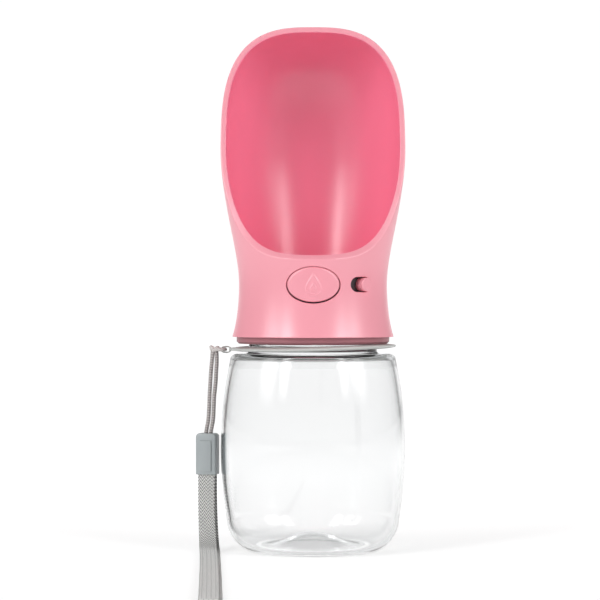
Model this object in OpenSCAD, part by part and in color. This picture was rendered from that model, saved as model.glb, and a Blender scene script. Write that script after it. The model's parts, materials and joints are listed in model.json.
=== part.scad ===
// Travel water bottle for dogs: a clear bottle, a drinking scoop that screws on to its neck,
// a press-to-pour valve with a lock, and a wrist lanyard on a ring round the neck.
// Millimetres, +Z up, origin on the table under the bottle's axis; the scoop opens towards -Y.

/* [Bottle] */
// Largest outer radius of the bottle
bottle_r = 38.5; // [36:0.5:42]
// Height of the bottle's shoulder
shoulder_z = 82; // [78:0.5:90]
// Height at which the bottle is widest
belly_z = 42.5; // [38:0.5:48]
// Radius of the arc that the bottle's side follows
side_arc_r = 175; // [150:5:240]
// Wall of the bottle
bottle_wall = 1.8; // [1.4:0.1:2.4]
// Height of the rounded foot
foot_h = 14; // [11:1:18]
// Outer radius of the flat ring that the bottle stands on
foot_ring_r = 24; // [20:0.5:26]
// Width of that ring
foot_ring_w = 2; // [1:0.5:3]
// Rise of the dome pressed up into the bottom
punt_h = 5.8; // [3:0.2:8]
// Rounding between the bottle's side and its shoulder
shoulder_round = 2.5; // [1:0.5:4]

/* [Neck] */
// Step from the threaded tube out to the plain foot of the neck
neck_step = 1.5; // [1.4:0.1:2.2]
// Height of the plain foot of the neck
neck_foot_h = 3.8; // [3.6:0.1:4.5]
// Outer radius of the threaded tube
thread_tube_r = 25.2; // [24.8:0.1:25.6]
// Length of the threaded tube
thread_tube_h = 11.7; // [11:0.1:13]
// Wall of the neck
neck_wall = 1.8; // [1.4:0.1:2.6]
// Rise of the thread in one turn
thread_pitch = 4; // [3.6:0.1:4.4]
// Depth of the thread on the bottle
thread_depth = 1.4; // [1:0.1:1.5]
// Turns of thread
thread_turns = 1.4; // [1:0.1:1.6]

/* [Head] */
// Largest outer radius of the scoop
scoop_r = 38.5; // [37:0.5:42]
// Height of the scoop's widest place above the housing's lower edge
scoop_wide_h = 78.6; // [74:0.2:84]
// Height of the scoop above its widest place
scoop_dome_h = 50.6; // [44:0.2:56]
// Squareness of the scoop's top: 2 is an ellipse
scoop_square = 2.9; // [2.4:0.1:3.4]
// How far the waist, where the button is, stands outside the threaded tube
waist_out = 5.6; // [5.4:0.1:6.6]
// Height of the waist above the housing's lower edge
waist_h = 21.6; // [20:0.2:23]
// How far the housing's lower edge stands outside the threaded tube
skirt_out = 8.5; // [8.1:0.1:9.6]
// Wall of the head
head_wall = 2.3; // [2:0.1:2.6]
// Height of the scoop's floor above the housing's lower edge
floor_h = 30.8; // [30.6:0.1:31.4]
// Thickness of the scoop's floor
floor_t = 1.6; // [1.4:0.1:1.7]
// Rounding between the scoop's floor and its wall
floor_round = 5; // [3:0.5:8]
// Height of the drinking lip above the housing's lower edge
lip_h = 32.2; // [31.9:0.1:34]
// Place of the scoop's rim at the top, behind the bottle's axis
rim_back = 1.5; // [0.5:0.5:4]
// Height from the lip to where the rim runs straight up
rim_sweep_h = 60; // [54:1:64]
// Height of the screw collar that shows under the housing
collar_show = 2.8; // [2.4:0.1:3.2]

/* [Button and valve] */
// Width of the oval button
button_w = 21.2; // [20:0.1:22.4]
// Height of the oval button
button_h = 14.3; // [13:0.1:15]
// How far the button stands out of the housing
button_proud = 0.5; // [0.2:0.1:1]
// Travel of the button
button_travel = 4.6; // [4:0.1:5]
// Depth of the button
button_depth = 7.2; // [6.6:0.1:7.6]
// Wall of the button
button_wall = 1.6; // [1.2:0.1:2]
// Outer radius of the valve body
valve_r = 7; // [6.6:0.1:7.2]
// Bore of the valve body, as a radius
valve_bore_r = 5; // [4.8:0.1:5.2]
// Radius of the two water ports
port_r = 1.8; // [1.4:0.1:2]
// Place of the ports behind the bottle's axis
port_y = 2; // [1:0.5:4]
// Wire of the return spring, as a radius
spring_wire_r = 0.4; // [0.3:0.05:0.45]
// Turns of the return spring
spring_turns = 4; // [3:0.5:4.5]

/* [Lock] */
// Length of the lock's slot
slot_w = 9.8; // [9.6:0.1:10.6]
// Height of the lock's slot
slot_h = 6.1; // [5.9:0.1:6.6]
// Angle of the slot's middle round the housing, from the front
slot_angle = 39; // [38:0.5:42]
// Radius of the lock's knob
knob_r = 2.7; // [2.4:0.1:2.8]
// How far the knob stands out of the housing
knob_proud = 1.5; // [1:0.1:2]
// Swing of the lock from open to locked, in degrees
lock_swing = 7.4; // [6:0.1:7.4]

/* [Lanyard] */
// Width of the ring round the neck, from its hole to its edge
ring_w = 7.5; // [6.6:0.1:8]
// Thickness of the ring
ring_t = 1.9; // [1.5:0.1:2]
// Tilt of the ring as it lies on the neck, in degrees
ring_tilt = 1.2; // [0:0.1:1.2]
// Diameter of the thin cord
cord_d = 1.7; // [1.5:0.1:1.8]
// Width of the strap
strap_w = 7.3; // [6.8:0.1:7.5]
// Thickness of one layer of the strap
strap_t = 1.1; // [0.9:0.1:1.2]
// Width of the clasp
clasp_w = 8.7; // [8.5:0.1:9]
// Depth of the clasp, front to back
clasp_d = 6; // [5.6:0.1:6.6]
// Height of the clasp
clasp_h = 17.2; // [16:0.2:18]
// Turn of the clasp and strap as they hang, in degrees
clasp_turn = -15; // [-25:1:0]

/* [Fits] */
// Running clearance of the spool in its bore
run_gap = 0.06; // [0.04:0.01:0.1]
// Gap round the button and the knob where they pass the housing
window_gap = 0.3; // [0.2:0.05:0.5]
// Gap between pieces that sit in one another
seat_gap = 0.1; // [0.05:0.05:0.2]
// Gap between the collar's thread and the bottle's
thread_gap = 0.3; // [0.25:0.05:0.35]

/* [Hidden] */
$fn = 96;

over = 1;
big = 60;
pink = [0.97, 0.66, 0.71];
deep_pink = [0.72, 0.42, 0.48];
clear = [0.86, 0.92, 0.95, 0.45];
silicone = [0.86, 0.87, 0.88];
grey = [0.66, 0.68, 0.69];
dark = [0.2, 0.19, 0.2];
steel = [0.7, 0.71, 0.73];

// ---- Bottle: heights and outline
neck_round = 1.3;
neck_r = thread_tube_r + neck_step;
mouth_r = thread_tube_r - neck_wall;
neck_top_z = shoulder_z + neck_foot_h + thread_tube_h;
tube_z = shoulder_z + neck_foot_h;
foot_square = 1.9;
punt_r = foot_ring_r - foot_ring_w;
foot_steps = 10;
side_steps = 14;
lip_chamfer = 0.5;

function side_r(z) = bottle_r - side_arc_r + sqrt(pow(side_arc_r, 2) - pow(z - belly_z, 2));
function punt_z(r) = punt_h * (1 + cos(180 * r / punt_r)) / 2;
// Quarter of a superellipse from the inner radius at the bottom to the outer radius at the height h
function corner(r_in, r_out, h, n, steps) =
    [for (i = [0:steps])
        let (a = 90 * i / steps)
        [r_in + (r_out - r_in) * pow(sin(a), 2 / n), h * (1 - pow(cos(a), 2 / n))]];
function lift(points, z) = [for (p = points) [p[0], p[1] + z]];
function arc(r, z, radius, from, to, steps) =
    [for (i = [0:steps])
        let (a = from + (to - from) * i / steps)
        [r + radius * cos(a), z + radius * sin(a)]];
function reversed(points) = [for (i = [len(points) - 1:-1:0]) points[i]];

punt_steps = 10;
punt_points = [for (i = [0:punt_steps]) [punt_r * i / punt_steps, punt_z(punt_r * i / punt_steps)]];
shoulder_low_z = shoulder_z - shoulder_round;
side_points = [for (i = [1:side_steps - 1])
    let (z = foot_h + (shoulder_low_z - foot_h) * i / side_steps)
    [side_r(z), z]];
outer_points = concat(
    punt_points,
    corner(foot_ring_r, side_r(foot_h), foot_h, foot_square, foot_steps),
    side_points,
    arc(side_r(shoulder_low_z) - shoulder_round, shoulder_low_z, shoulder_round, 0, 90, 5),
    arc(neck_r + neck_round, shoulder_z + neck_round, neck_round, 270, 180, 4),
    [[neck_r, tube_z], [thread_tube_r, tube_z], [thread_tube_r, neck_top_z - lip_chamfer],
     [thread_tube_r - lip_chamfer, neck_top_z]]
);
inner_round = shoulder_round - 1;
inner_top_z = shoulder_z - bottle_wall;
inner_side_r = side_r(inner_top_z) - bottle_wall;
inner_points = concat(
    lift(punt_points, bottle_wall),
    lift(corner(foot_ring_r, side_r(foot_h) - bottle_wall, foot_h - bottle_wall, foot_square, foot_steps),
        bottle_wall),
    [for (p = side_points) if (p[1] < inner_top_z - inner_round) [p[0] - bottle_wall, p[1]]],
    arc(inner_side_r - inner_round, inner_top_z - inner_round, inner_round, 0, 90, 4),
    [[mouth_r, inner_top_z], [mouth_r, neck_top_z]]
);

// ---- Thread: a ridge of four corners swept along a helix
thread_seg = 48;
thread_root = 0.95;
thread_crest = 0.45;
thread_sink = 0.35;
thread_low_z = tube_z + 3;
collar_bore_r = thread_tube_r + thread_depth + thread_gap;

// ---- Head: outline and levels
shell_z = tube_z + thread_gap + collar_show;
collar_z = shell_z - collar_show;
waist_z = shell_z + waist_h;
wide_z = shell_z + scoop_wide_h;
head_top_z = wide_z + scoop_dome_h;
floor_z = shell_z + floor_h;
floor_under_z = floor_z - floor_t;
lip_z = shell_z + lip_h;
skirt_steps = 6;
flank_steps = 12;
dome_steps = 14;
skirt_r = thread_tube_r + skirt_out;
waist_r = thread_tube_r + waist_out;
flank_h = scoop_wide_h - waist_h;
skirt_curve = [
    [skirt_r, shell_z], [skirt_r - 1.5, shell_z + 0.19 * waist_h], [waist_r, shell_z + 0.58 * waist_h],
    [waist_r, waist_z]
];
flank_curve = [
    [waist_r, waist_z], [waist_r, waist_z + 0.26 * flank_h], [scoop_r, wide_z - 0.39 * flank_h],
    [scoop_r, wide_z]
];

function bezier(c, t) =
    pow(1 - t, 3) * c[0] + 3 * t * pow(1 - t, 2) * c[1] + 3 * t * t * (1 - t) * c[2] + pow(t, 3) * c[3];
function dome(r, h) =
    [for (i = [0:dome_steps])
        let (a = 90 * i / dome_steps)
        [r * pow(cos(a), 2 / scoop_square), wide_z + h * pow(sin(a), 2 / scoop_square)]];

housing_points = concat(
    [for (i = [0:skirt_steps - 1]) bezier(skirt_curve, i / skirt_steps)],
    [for (i = [0:flank_steps - 1]) bezier(flank_curve, i / flank_steps)]
);
housing_table = [for (p = concat(housing_points, [[scoop_r, wide_z]])) [p[1], p[0]]];
function head_r(z) = lookup(z, housing_table);
function bay_r(z) = head_r(z) - head_wall;

// Rim in the side view, as y and z: a quarter of an oval from the lip up to the straight top
rim_steps = 14;
rim_bow_y = 1.02;
rim_bow_z = 1.55;
lip_y = -head_r(lip_z) - 0.4;
rim_points = [for (i = [0:rim_steps])
    let (a = 90 * i / rim_steps)
    [
        lip_y + (rim_back - lip_y) * pow(sin(a), rim_bow_y),
        lip_z + rim_sweep_h * (1 - pow(cos(a), rim_bow_z))
    ]];
rim_top = [rim_back, head_top_z + big];
rim_outline = concat([[-big, lip_z]], rim_points, [rim_top, [-big, head_top_z + big]]);

// ---- Valve: one axis along Y at the waist's height
axis_z = waist_z;
button_face_r = waist_r + button_proud;
button_front = -button_face_r;
button_back = button_front + button_depth;
button_inner = button_front + 2.8;
valve_front = button_back + button_travel + 1.4;
valve_back = 19;
stem_r = 2.6;
stem_front = button_inner + seat_gap;
groove_w = 2 * port_r + 0.6;
groove_front = port_y - groove_w / 2 - button_travel;
spool_front = valve_front + 3;
spool_back = 8;
spool_r = valve_bore_r - run_gap;
cap_plug = 2;
cap_flange = 1.5;
spring_mean_r = valve_bore_r - 1;
plate_t = 2.5;
gasket_t = 1.8;
plate_z = neck_top_z + gasket_t + 2 * seat_gap;
plate_top_z = plate_z + plate_t;
port_seal_h = 1.2;
boss_r = 5.2;
spout_r = 4;
spout_rise = 0.9;
o_ring_r = 0.5;
o_groove_r = valve_bore_r - 1.1;
o_groove_w = 1.3;
o_ring_ys = [groove_front - 3, spool_back - 2.2];

// ---- Lock: all of it turns about the head's own axis
plate_out_r = waist_r - head_wall - 0.3;
plate_in_r = plate_out_r - 0.9;
lock_plate_h = 9;
knob_angle = slot_angle + lock_swing / 2;
lock_from = 32.6;
lock_to = 54;
guide_from = 27.5;
guide_to = 62;
rail_h = 2.2;

// ---- Lanyard
ring_in_r = neck_r + 0.4;
ring_r = ring_in_r + ring_w;
ring_z = tube_z - 0.5 - ring_t;
eye_x = -ring_r - 1.6;
eye_z = ring_z + 1;
eye_len = 4.4;
eye_h = 3;
eye_wall = 0.55;
clasp_x = -43.9;
clasp_z = 31.6;
clasp_top_z = clasp_z + clasp_h;
clasp_bevel = 1.2;
layer_y = 1.4;
cord_left_route = [
    [-44.8, 0.3, 45.3], [-44.7, 0.3, 47.5], [-44.3, 0.2, 50.5], [-43.6, 0, 54.5], [-43.3, 0, 59.5],
    [-43.1, 0, 64.5], [-42.8, 0, 69.5], [-42.5, 0, 74.5], [-42.1, 0, 79], [-41.8, 0, 82.9]
];
cord_right_route = [
    [-42.9, -0.3, 45.3], [-42.8, -0.3, 47.5], [-42.3, -0.2, 50.5], [-41.6, 0, 54.5], [-41.35, 0, 59.5],
    [-41.1, 0, 64.5], [-40.6, 0, 69.5], [-40.3, 0, 74.5], [-40.1, 0, 79], [-40.2, 0, 82.9]
];
hitch_route = [
    [-40.8, -1.1, 83.8], [-39.4, -1.8, 83.7], [-38, -1.95, 83.6], [-36.9, -1.2, 83.6], [-36.6, 0, 83.6],
    [-36.9, 1.2, 83.6], [-38, 1.95, 83.6], [-39.4, 1.8, 83.7], [-40.8, 1.1, 83.8]
];
hitch_centre = [-41, 0, 83.7];
strap_front_route = [
    [-44.26, -1.35, 37.3], [-44.26, -1.35, 31], [-44.26, -1.45, 24], [-44.2, -1.8, 17], [-44, -2.8, 10.5],
    [-43.7, -5.4, 5.6], [-43.4, -10, 2.8], [-43, -17, 1.95], [-42.3, -32, 1.95], [-41.4, -52, 1.95],
    [-40.6, -72, 1.95], [-39.8, -92, 1.95], [-39.1, -112, 1.95], [-38.3, -132, 1.95], [-37.6, -152, 1.95],
    [-36.9, -172, 1.95], [-36.5, -184, 2.1]
];
strap_back_route = [
    [-43.54, 1.35, 37.3], [-43.54, 1.35, 31], [-43.54, 1.25, 24], [-43.4, 1, 17], [-43.1, 0.2, 9.8],
    [-42.7, -2.4, 3.9], [-42.2, -7.5, 1.1], [-41.7, -15, 0.65], [-41.1, -32, 0.65], [-40.3, -52, 0.65],
    [-39.5, -72, 0.65], [-38.7, -92, 0.65], [-37.9, -112, 0.65], [-37.2, -132, 0.65], [-36.4, -152, 0.65],
    [-35.7, -172, 0.65], [-35.3, -188, 0.65], [-35.3, -196, 0.75], [-35.6, -199.5, 1.9], [-36, -197, 3.1],
    [-36.3, -192, 2.8], [-36.5, -184, 2.1]
];
strap_side = [cos(clasp_turn), sin(clasp_turn), 0];

function unit(v) = v / norm(v);
function held(list, i) = list[min(max(i, 0), len(list) - 1)];
function spline(a, b, c, d, t) =
    0.5 * (2 * b + (c - a) * t + (2 * a - 5 * b + 4 * c - d) * t * t + (3 * b - a - 3 * c + d) * t * t * t);
function smooth(route, n) = concat(
    [for (i = [0:len(route) - 2]) for (k = [0:n - 1])
        spline(held(route, i - 1), route[i], route[i + 1], held(route, i + 2), k / n)],
    [route[len(route) - 1]]
);
function tangent(path, i) = unit(held(path, i + 1) - held(path, i - 1));
// Corners of the section at one place of the path: across the given side, and square to it
function section(path, i, side, outline) =
    let (t = tangent(path, i), w = unit(side - (side * t) * t), n = cross(w, t))
    [for (p = outline) path[i] + p[0] * w + p[1] * n];
function circle_outline(r, sides) =
    [for (j = [0:sides - 1]) r * [cos(360 * j / sides), sin(360 * j / sides)]];
// Flat section with cut corners
function flat_outline(w, t) =
    let (a = w / 2, b = t / 2, c = t * 0.3)
    [[a, c - b], [a, b - c], [a - c, b], [c - a, b], [-a, b - c], [-a, c - b], [c - a, -b], [a - c, -b]];

// A solid swept along a path, with a side vector for each place
module sweep(path, sides, outline) {
    m = len(outline);
    last = len(path) - 1;
    points = [for (i = [0:last]) each section(path, i, sides[i], outline)];
    walls = [for (i = [0:last - 1]) for (j = [0:m - 1])
        each [
            [i * m + j, i * m + (j + 1) % m, (i + 1) * m + j],
            [(i + 1) * m + j, i * m + (j + 1) % m, (i + 1) * m + (j + 1) % m]
        ]];
    start = [[for (j = [m - 1:-1:0]) j]];
    end = [[for (j = [0:m - 1]) last * m + j]];
    polyhedron(points = points, faces = concat(walls, start, end), convexity = 6);
}

// A helical ridge round Z; depth is positive outwards and negative inwards
module thread_ridge(root_r, depth, low_z) {
    steps = round(thread_turns * thread_seg);
    path = [for (i = [0:steps])
        let (a = 360 * i / thread_seg)
        [root_r * cos(a), root_r * sin(a), low_z + thread_pitch * i / thread_seg]];
    sides = [for (i = [0:steps]) let (a = 360 * i / thread_seg) [cos(a), sin(a), 0]];
    sink = sign(depth) * thread_sink;
    low_first = [
        [-sink, -thread_root], [depth, -thread_crest], [depth, thread_crest], [-sink, thread_root]
    ];
    sweep(path, sides, depth > 0 ? low_first : reversed(low_first));
}

module oval(w, h) {
    polygon([for (i = [0:47]) [w / 2 * cos(7.5 * i), h / 2 * sin(7.5 * i)]]);
}

// Extrudes a shape drawn in x and z along Y, between two places
module along_y(from, to) {
    translate([0, to, 0])
        rotate([90, 0, 0])
            linear_extrude(height = to - from)
                children();
}

module rod_y(r, from, to) {
    translate([0, to, axis_z])
        rotate([90, 0, 0])
            cylinder(r = r, h = to - from);
}

// Part of a ring round Z, from one angle to another, measured from the front towards +X
module ring_sector(r_in, r_out, z, h, from, to) {
    translate([0, 0, z])
        rotate([0, 0, from - 90])
            rotate_extrude(angle = to - from)
                translate([r_in, 0])
                    square([r_out - r_in, h]);
}

// Puts a shape that stands along +Z so that it points out of the housing at an angle from the front
module out_at(angle, r) {
    rotate([0, 0, angle - 90])
        translate([r, 0, axis_z])
            rotate([0, 90, 0])
                children();
}

// ---- Sub-parts
module bottle() {
    color(clear)
        union() {
            rotate_extrude()
                polygon(concat(outer_points, reversed(inner_points)));
            thread_ridge(thread_tube_r, thread_depth, thread_low_z);
        }
}

module neck_gasket() {
    bead_r = 0.4;
    gasket_in_r = mouth_r - 0.8;
    gasket_out_r = collar_bore_r - thread_gap;
    color(silicone)
        translate([0, 0, neck_top_z + seat_gap])
            rotate_extrude()
                union() {
                    translate([gasket_in_r, bead_r])
                        square([gasket_out_r - gasket_in_r, gasket_t - 2 * bead_r]);
                    for (z = [bead_r, gasket_t - bead_r])
                        translate([(mouth_r + thread_tube_r) / 2, z])
                            circle(r = bead_r);
                }
}

module scoop_space() {
    wall_r = bay_r(floor_z + floor_round);
    rotate_extrude()
        polygon(concat(
            [[0, floor_z]],
            lift(corner(wall_r - floor_round, wall_r, floor_round, 2, 8), floor_z),
            [for (p = housing_points) if (p[1] > floor_z + floor_round) [p[0] - head_wall, p[1]]],
            dome(scoop_r - head_wall, scoop_dome_h - head_wall)
        ));
}

module valve_bay() {
    rotate_extrude()
        polygon(concat(
            [[0, shell_z - over], [bay_r(shell_z), shell_z - over]],
            [for (p = housing_points) if (p[1] < floor_under_z) [p[0] - head_wall, p[1]]],
            [[bay_r(floor_under_z), floor_under_z], [0, floor_under_z]]
        ));
}

module head_shell() {
    color(pink)
        difference() {
            rotate_extrude()
                polygon(concat(housing_points, dome(scoop_r, scoop_dome_h), [[0, shell_z]]));
            scoop_space();
            valve_bay();
            translate([-big, 0, 0])
                rotate([90, 0, 90])
                    linear_extrude(height = 2 * big)
                        polygon(rim_outline);
            translate([0, port_y, floor_under_z - over])
                cylinder(r = spout_r + seat_gap, h = floor_t + 2 * over);
            translate([0, 0, axis_z])
                along_y(-big, -valve_r)
                    oval(button_w + 2 * window_gap, button_h + 2 * window_gap);
            out_at(slot_angle, plate_in_r)
                linear_extrude(height = 10)
                    lock_slot();
        }
}

// The slot lies across: its length runs round the housing
module lock_slot() {
    reach = (slot_w - slot_h) / 2;
    union() {
        translate([-slot_h / 2, -reach])
            square([slot_h, 2 * reach]);
        for (side = [-1, 1])
            translate([0, side * reach])
                circle(r = slot_h / 2);
    }
}

module thread_collar() {
    chamfer = 0.9;
    collar_r = skirt_r - 1.9;
    color(deep_pink)
        union() {
            rotate_extrude()
                polygon(concat(
                    [[collar_bore_r, collar_z], [collar_r - chamfer, collar_z],
                     [collar_r, collar_z + chamfer], [collar_r, shell_z],
                     [bay_r(shell_z) - seat_gap, shell_z]],
                    [for (p = housing_points) if (p[1] > shell_z && p[1] < plate_z)
                        [p[0] - head_wall - seat_gap, p[1]]],
                    [[bay_r(plate_z) - seat_gap, plate_z], [collar_bore_r, plate_z]]
                ));
            thread_ridge(collar_bore_r, -thread_depth, thread_low_z - thread_pitch / 2);
        }
}

module valve_plate() {
    low_r = bay_r(plate_z) - 2 * seat_gap;
    top_r = bay_r(plate_top_z) - 2 * seat_gap;
    color(pink)
        difference() {
            translate([0, 0, plate_z])
                cylinder(r1 = low_r, r2 = top_r, h = plate_t);
            translate([0, port_y, plate_z - over])
                cylinder(r = port_r, h = plate_t + 2 * over);
        }
}

module port_seal() {
    color(silicone)
        translate([0, port_y, plate_top_z])
            difference() {
                cylinder(r = boss_r, h = port_seal_h);
                translate([0, 0, -over])
                    cylinder(r = port_r, h = port_seal_h + 2 * over);
            }
}

module valve_body() {
    foot_z = plate_top_z + port_seal_h;
    color(silicone)
        difference() {
            union() {
                rod_y(valve_r, valve_front, valve_back);
                translate([0, port_y, foot_z])
                    cylinder(r = boss_r, h = floor_under_z - foot_z);
            }
            rod_y(valve_bore_r, valve_front - over, valve_back + over);
            translate([0, port_y, foot_z - over])
                cylinder(r = port_r, h = floor_under_z - foot_z + 2 * over);
        }
}

module valve_end_cap() {
    color(pink)
        union() {
            rod_y(valve_bore_r - run_gap, valve_back - cap_plug, valve_back);
            rod_y(valve_r, valve_back, valve_back + cap_flange);
        }
}

module outlet_spout() {
    spout_round = 0.6;
    top_z = floor_z + spout_rise;
    color(silicone)
        translate([0, port_y, 0])
            rotate_extrude()
                polygon(concat(
                    [[port_r, floor_under_z], [spout_r, floor_under_z]],
                    arc(spout_r - spout_round, top_z - spout_round, spout_round, 0, 90, 5),
                    [[port_r, top_z]]
                ));
}

module return_spring() {
    from = spool_back + spring_wire_r + seat_gap;
    to = valve_back - cap_plug - spring_wire_r - seat_gap;
    seg = 14;
    steps = round(spring_turns * seg);
    path = [for (i = [0:steps])
        let (a = 360 * i / seg)
        [spring_mean_r * sin(a), from + (to - from) * i / steps, axis_z + spring_mean_r * cos(a)]];
    sides = [for (i = [0:steps]) let (a = 360 * i / seg) [sin(a), 0, cos(a)]];
    color(steel)
        sweep(path, sides, circle_outline(spring_wire_r, 6));
}

module lock_guide() {
    low = axis_z - lock_plate_h / 2 - seat_gap;
    back_r = plate_in_r - 0.2;
    wall_r = waist_r - head_wall - seat_gap;
    back_h = lock_plate_h + 2 * (rail_h + seat_gap);
    color(pink)
        union() {
            ring_sector(back_r - 1, back_r, low - rail_h, back_h, guide_from, guide_to);
            for (z = [low - rail_h, low + lock_plate_h + 2 * seat_gap])
                ring_sector(back_r - 0.2, wall_r, z, rail_h, guide_from, guide_to);
        }
}

// Outline of a water drop, point up
module drop_mark(r) {
    polygon(concat([for (a = [-210:15:30]) r * [cos(a), sin(a)]], [[0, 2.3 * r]]));
}

module water_button() {
    mark_r = 1.7;
    mark_rise = 0.25;
    ear_w = 8;
    ear_side_h = 5;
    ear_out = 1.1;
    ear_t = 1.4;
    ear_y = button_back - ear_t;
    socket_r = stem_r + 1.5;
    color(pink)
        difference() {
            union() {
                intersection() {
                    translate([0, 0, axis_z])
                        along_y(button_front - over, button_back)
                            oval(button_w, button_h);
                    translate([0, 0, axis_z - button_h])
                        cylinder(r = button_face_r, h = 2 * button_h);
                }
                translate([-ear_w / 2, ear_y, axis_z - button_h / 2 - ear_out])
                    cube([ear_w, ear_t, ear_out + button_wall]);
                translate([-button_w / 2 - ear_out, ear_y, axis_z - ear_side_h / 2])
                    cube([ear_out + button_wall, ear_t, ear_side_h]);
                translate([0, 0, axis_z - mark_r / 2])
                    along_y(button_front - mark_rise, button_inner)
                        drop_mark(mark_r);
            }
            difference() {
                translate([0, 0, axis_z])
                    along_y(button_inner, button_back + over)
                        oval(button_w - 2 * button_wall, button_h - 2 * button_wall);
                rod_y(socket_r, button_inner - over, button_back + 2 * over);
            }
            rod_y(stem_r + seat_gap / 2, button_inner, button_back + over);
        }
}

module valve_spool() {
    color(dark)
        difference() {
            union() {
                rod_y(stem_r, stem_front, spool_front + over);
                rod_y(spool_r, spool_front, spool_back);
            }
            spool_groove(stem_r + 0.4, groove_front, groove_w);
            for (y = o_ring_ys)
                spool_groove(o_groove_r, y - o_groove_w / 2, o_groove_w);
        }
}

module spool_groove(r, from, w) {
    difference() {
        rod_y(valve_r, from, from + w);
        rod_y(r, from - over, from + w + over);
    }
}

module spool_o_rings() {
    color(deep_pink)
        for (y = o_ring_ys)
            translate([0, y, axis_z])
                rotate([90, 0, 0])
                    rotate_extrude()
                        translate([o_groove_r + o_ring_r + 0.02, 0])
                            circle(r = o_ring_r, $fn = 24);
}

peg_r = 1.2;

module lock_knob() {
    color(pink)
        union() {
            difference() {
                out_at(knob_angle, plate_in_r)
                    cylinder(r = knob_r, h = waist_r + knob_proud - plate_in_r);
                translate([0, 0, axis_z - 2 * knob_r])
                    cylinder(r = plate_out_r + 0.03, h = 4 * knob_r);
            }
            out_at(knob_angle, plate_in_r + seat_gap)
                cylinder(r = peg_r, h = waist_r - plate_in_r);
        }
}

module lock_plate() {
    low_z = axis_z - lock_plate_h / 2;
    color(dark)
        difference() {
            ring_sector(plate_in_r, plate_out_r, low_z, lock_plate_h, lock_from, lock_to);
            out_at(knob_angle, plate_in_r - over)
                cylinder(r = peg_r + seat_gap / 2, h = 3);
        }
}

module neck_ring() {
    edge = 0.4;
    flat_r = 30.5;
    color(grey)
        translate([0, 0, ring_z])
            rotate([0, -ring_tilt, 0])
                translate([0, 0, -ring_z])
                    union() {
                        rotate_extrude()
                            polygon([
                                [ring_in_r, ring_z], [flat_r, ring_z],
                                [ring_r - edge, ring_z + ring_t / 2 - edge], [ring_r, ring_z + ring_t / 2],
                                [ring_r - edge, ring_z + ring_t / 2 + edge],
                                [flat_r + 1, ring_z + ring_t], [ring_in_r, ring_z + ring_t]
                            ]);
                        difference() {
                            translate([eye_x, 0, ring_z + ring_t / 2])
                                along_y(-0.9, 0.9)
                                    stadium(eye_len, eye_h);
                            translate([eye_x - 0.2, 0, ring_z + ring_t / 2])
                                along_y(-2, 2)
                                    stadium(eye_len - 2 * eye_wall, eye_h - 2 * eye_wall);
                        }
                    }
}

module stadium(w, h) {
    reach = (w - h) / 2;
    union() {
        translate([-reach, -h / 2])
            square([2 * reach, h]);
        for (side = [-1, 1])
            translate([side * reach, 0])
                circle(r = h / 2);
    }
}

module thin_cord(route) {
    path = smooth(route, 2);
    color(grey)
        sweep(path, [for (p = path) [0, 1, 0]], circle_outline(cord_d / 2, 8));
}

module cord_left() {
    thin_cord(cord_left_route);
}

module cord_right() {
    thin_cord(cord_right_route);
}

// The cord's loop through the eyelet, and the knot that it is drawn into
module cord_hitch() {
    path = smooth(hitch_route, 2);
    color(grey)
        union() {
            translate(hitch_centre)
                sphere(r = cord_d * 1.1);
            sweep(path, [for (p = path) [0, 0, 1]], circle_outline(cord_d / 2, 8));
        }
}

// Hangs a shape, drawn round the Z axis, where the clasp is
module at_clasp() {
    translate([clasp_x, 0, 0])
        rotate([0, 0, clasp_turn])
            children();
}

module clasp_body() {
    wall = (clasp_w - strap_w) / 2 - 0.15;
    pocket_d = 2 * layer_y + strap_t + 0.2;
    color(grey)
        at_clasp()
            difference() {
                translate([0, clasp_d / 2, clasp_z])
                    rotate([90, 0, 0])
                        linear_extrude(height = clasp_d)
                            polygon([
                                [-clasp_w / 2, 0], [clasp_w / 2, 0], [clasp_w / 2, clasp_h - clasp_bevel],
                                [clasp_w / 2 - clasp_bevel, clasp_h], [clasp_bevel - clasp_w / 2, clasp_h],
                                [-clasp_w / 2, clasp_h - clasp_bevel]
                            ]);
                translate([wall - clasp_w / 2, -pocket_d / 2, clasp_z - over])
                    cube([clasp_w - 2 * wall, pocket_d, 6 + over]);
                translate([-2.3, -cord_d / 2 - 0.1, clasp_top_z - 4])
                    cube([4.6, cord_d + 0.2, 4 + over]);
            }
}

module clasp_cover() {
    cover_w = clasp_w - 3.6;
    cover_h = clasp_h - 4.4;
    cover_t = 0.5;
    color(grey)
        at_clasp()
            translate([-cover_w / 2, -clasp_d / 2 - cover_t, clasp_z + 1.4])
                cube([cover_w, cover_t, cover_h]);
}

module strap_front() {
    path = smooth(strap_front_route, 2);
    color(grey)
        sweep(path, [for (p = path) strap_side], flat_outline(strap_w, strap_t));
}

module strap_back() {
    path = smooth(strap_back_route, 2);
    color(grey)
        sweep(path, [for (p = path) strap_side], flat_outline(strap_w, strap_t));
}

bottle();
neck_gasket();
head_shell();
thread_collar();
valve_plate();
port_seal();
valve_body();
valve_end_cap();
outlet_spout();
return_spring();
lock_guide();
water_button();
valve_spool();
spool_o_rings();
lock_knob();
lock_plate();
neck_ring();
cord_left();
cord_right();
cord_hitch();
clasp_body();
clasp_cover();
strap_front();
strap_back();
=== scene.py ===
"""Dresses the travel water bottle: its visible pieces as finished meshes, materials, studio and camera."""
import json
import math

import bmesh
import bpy
import numpy as np
from mathutils import Matrix, Vector


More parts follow.
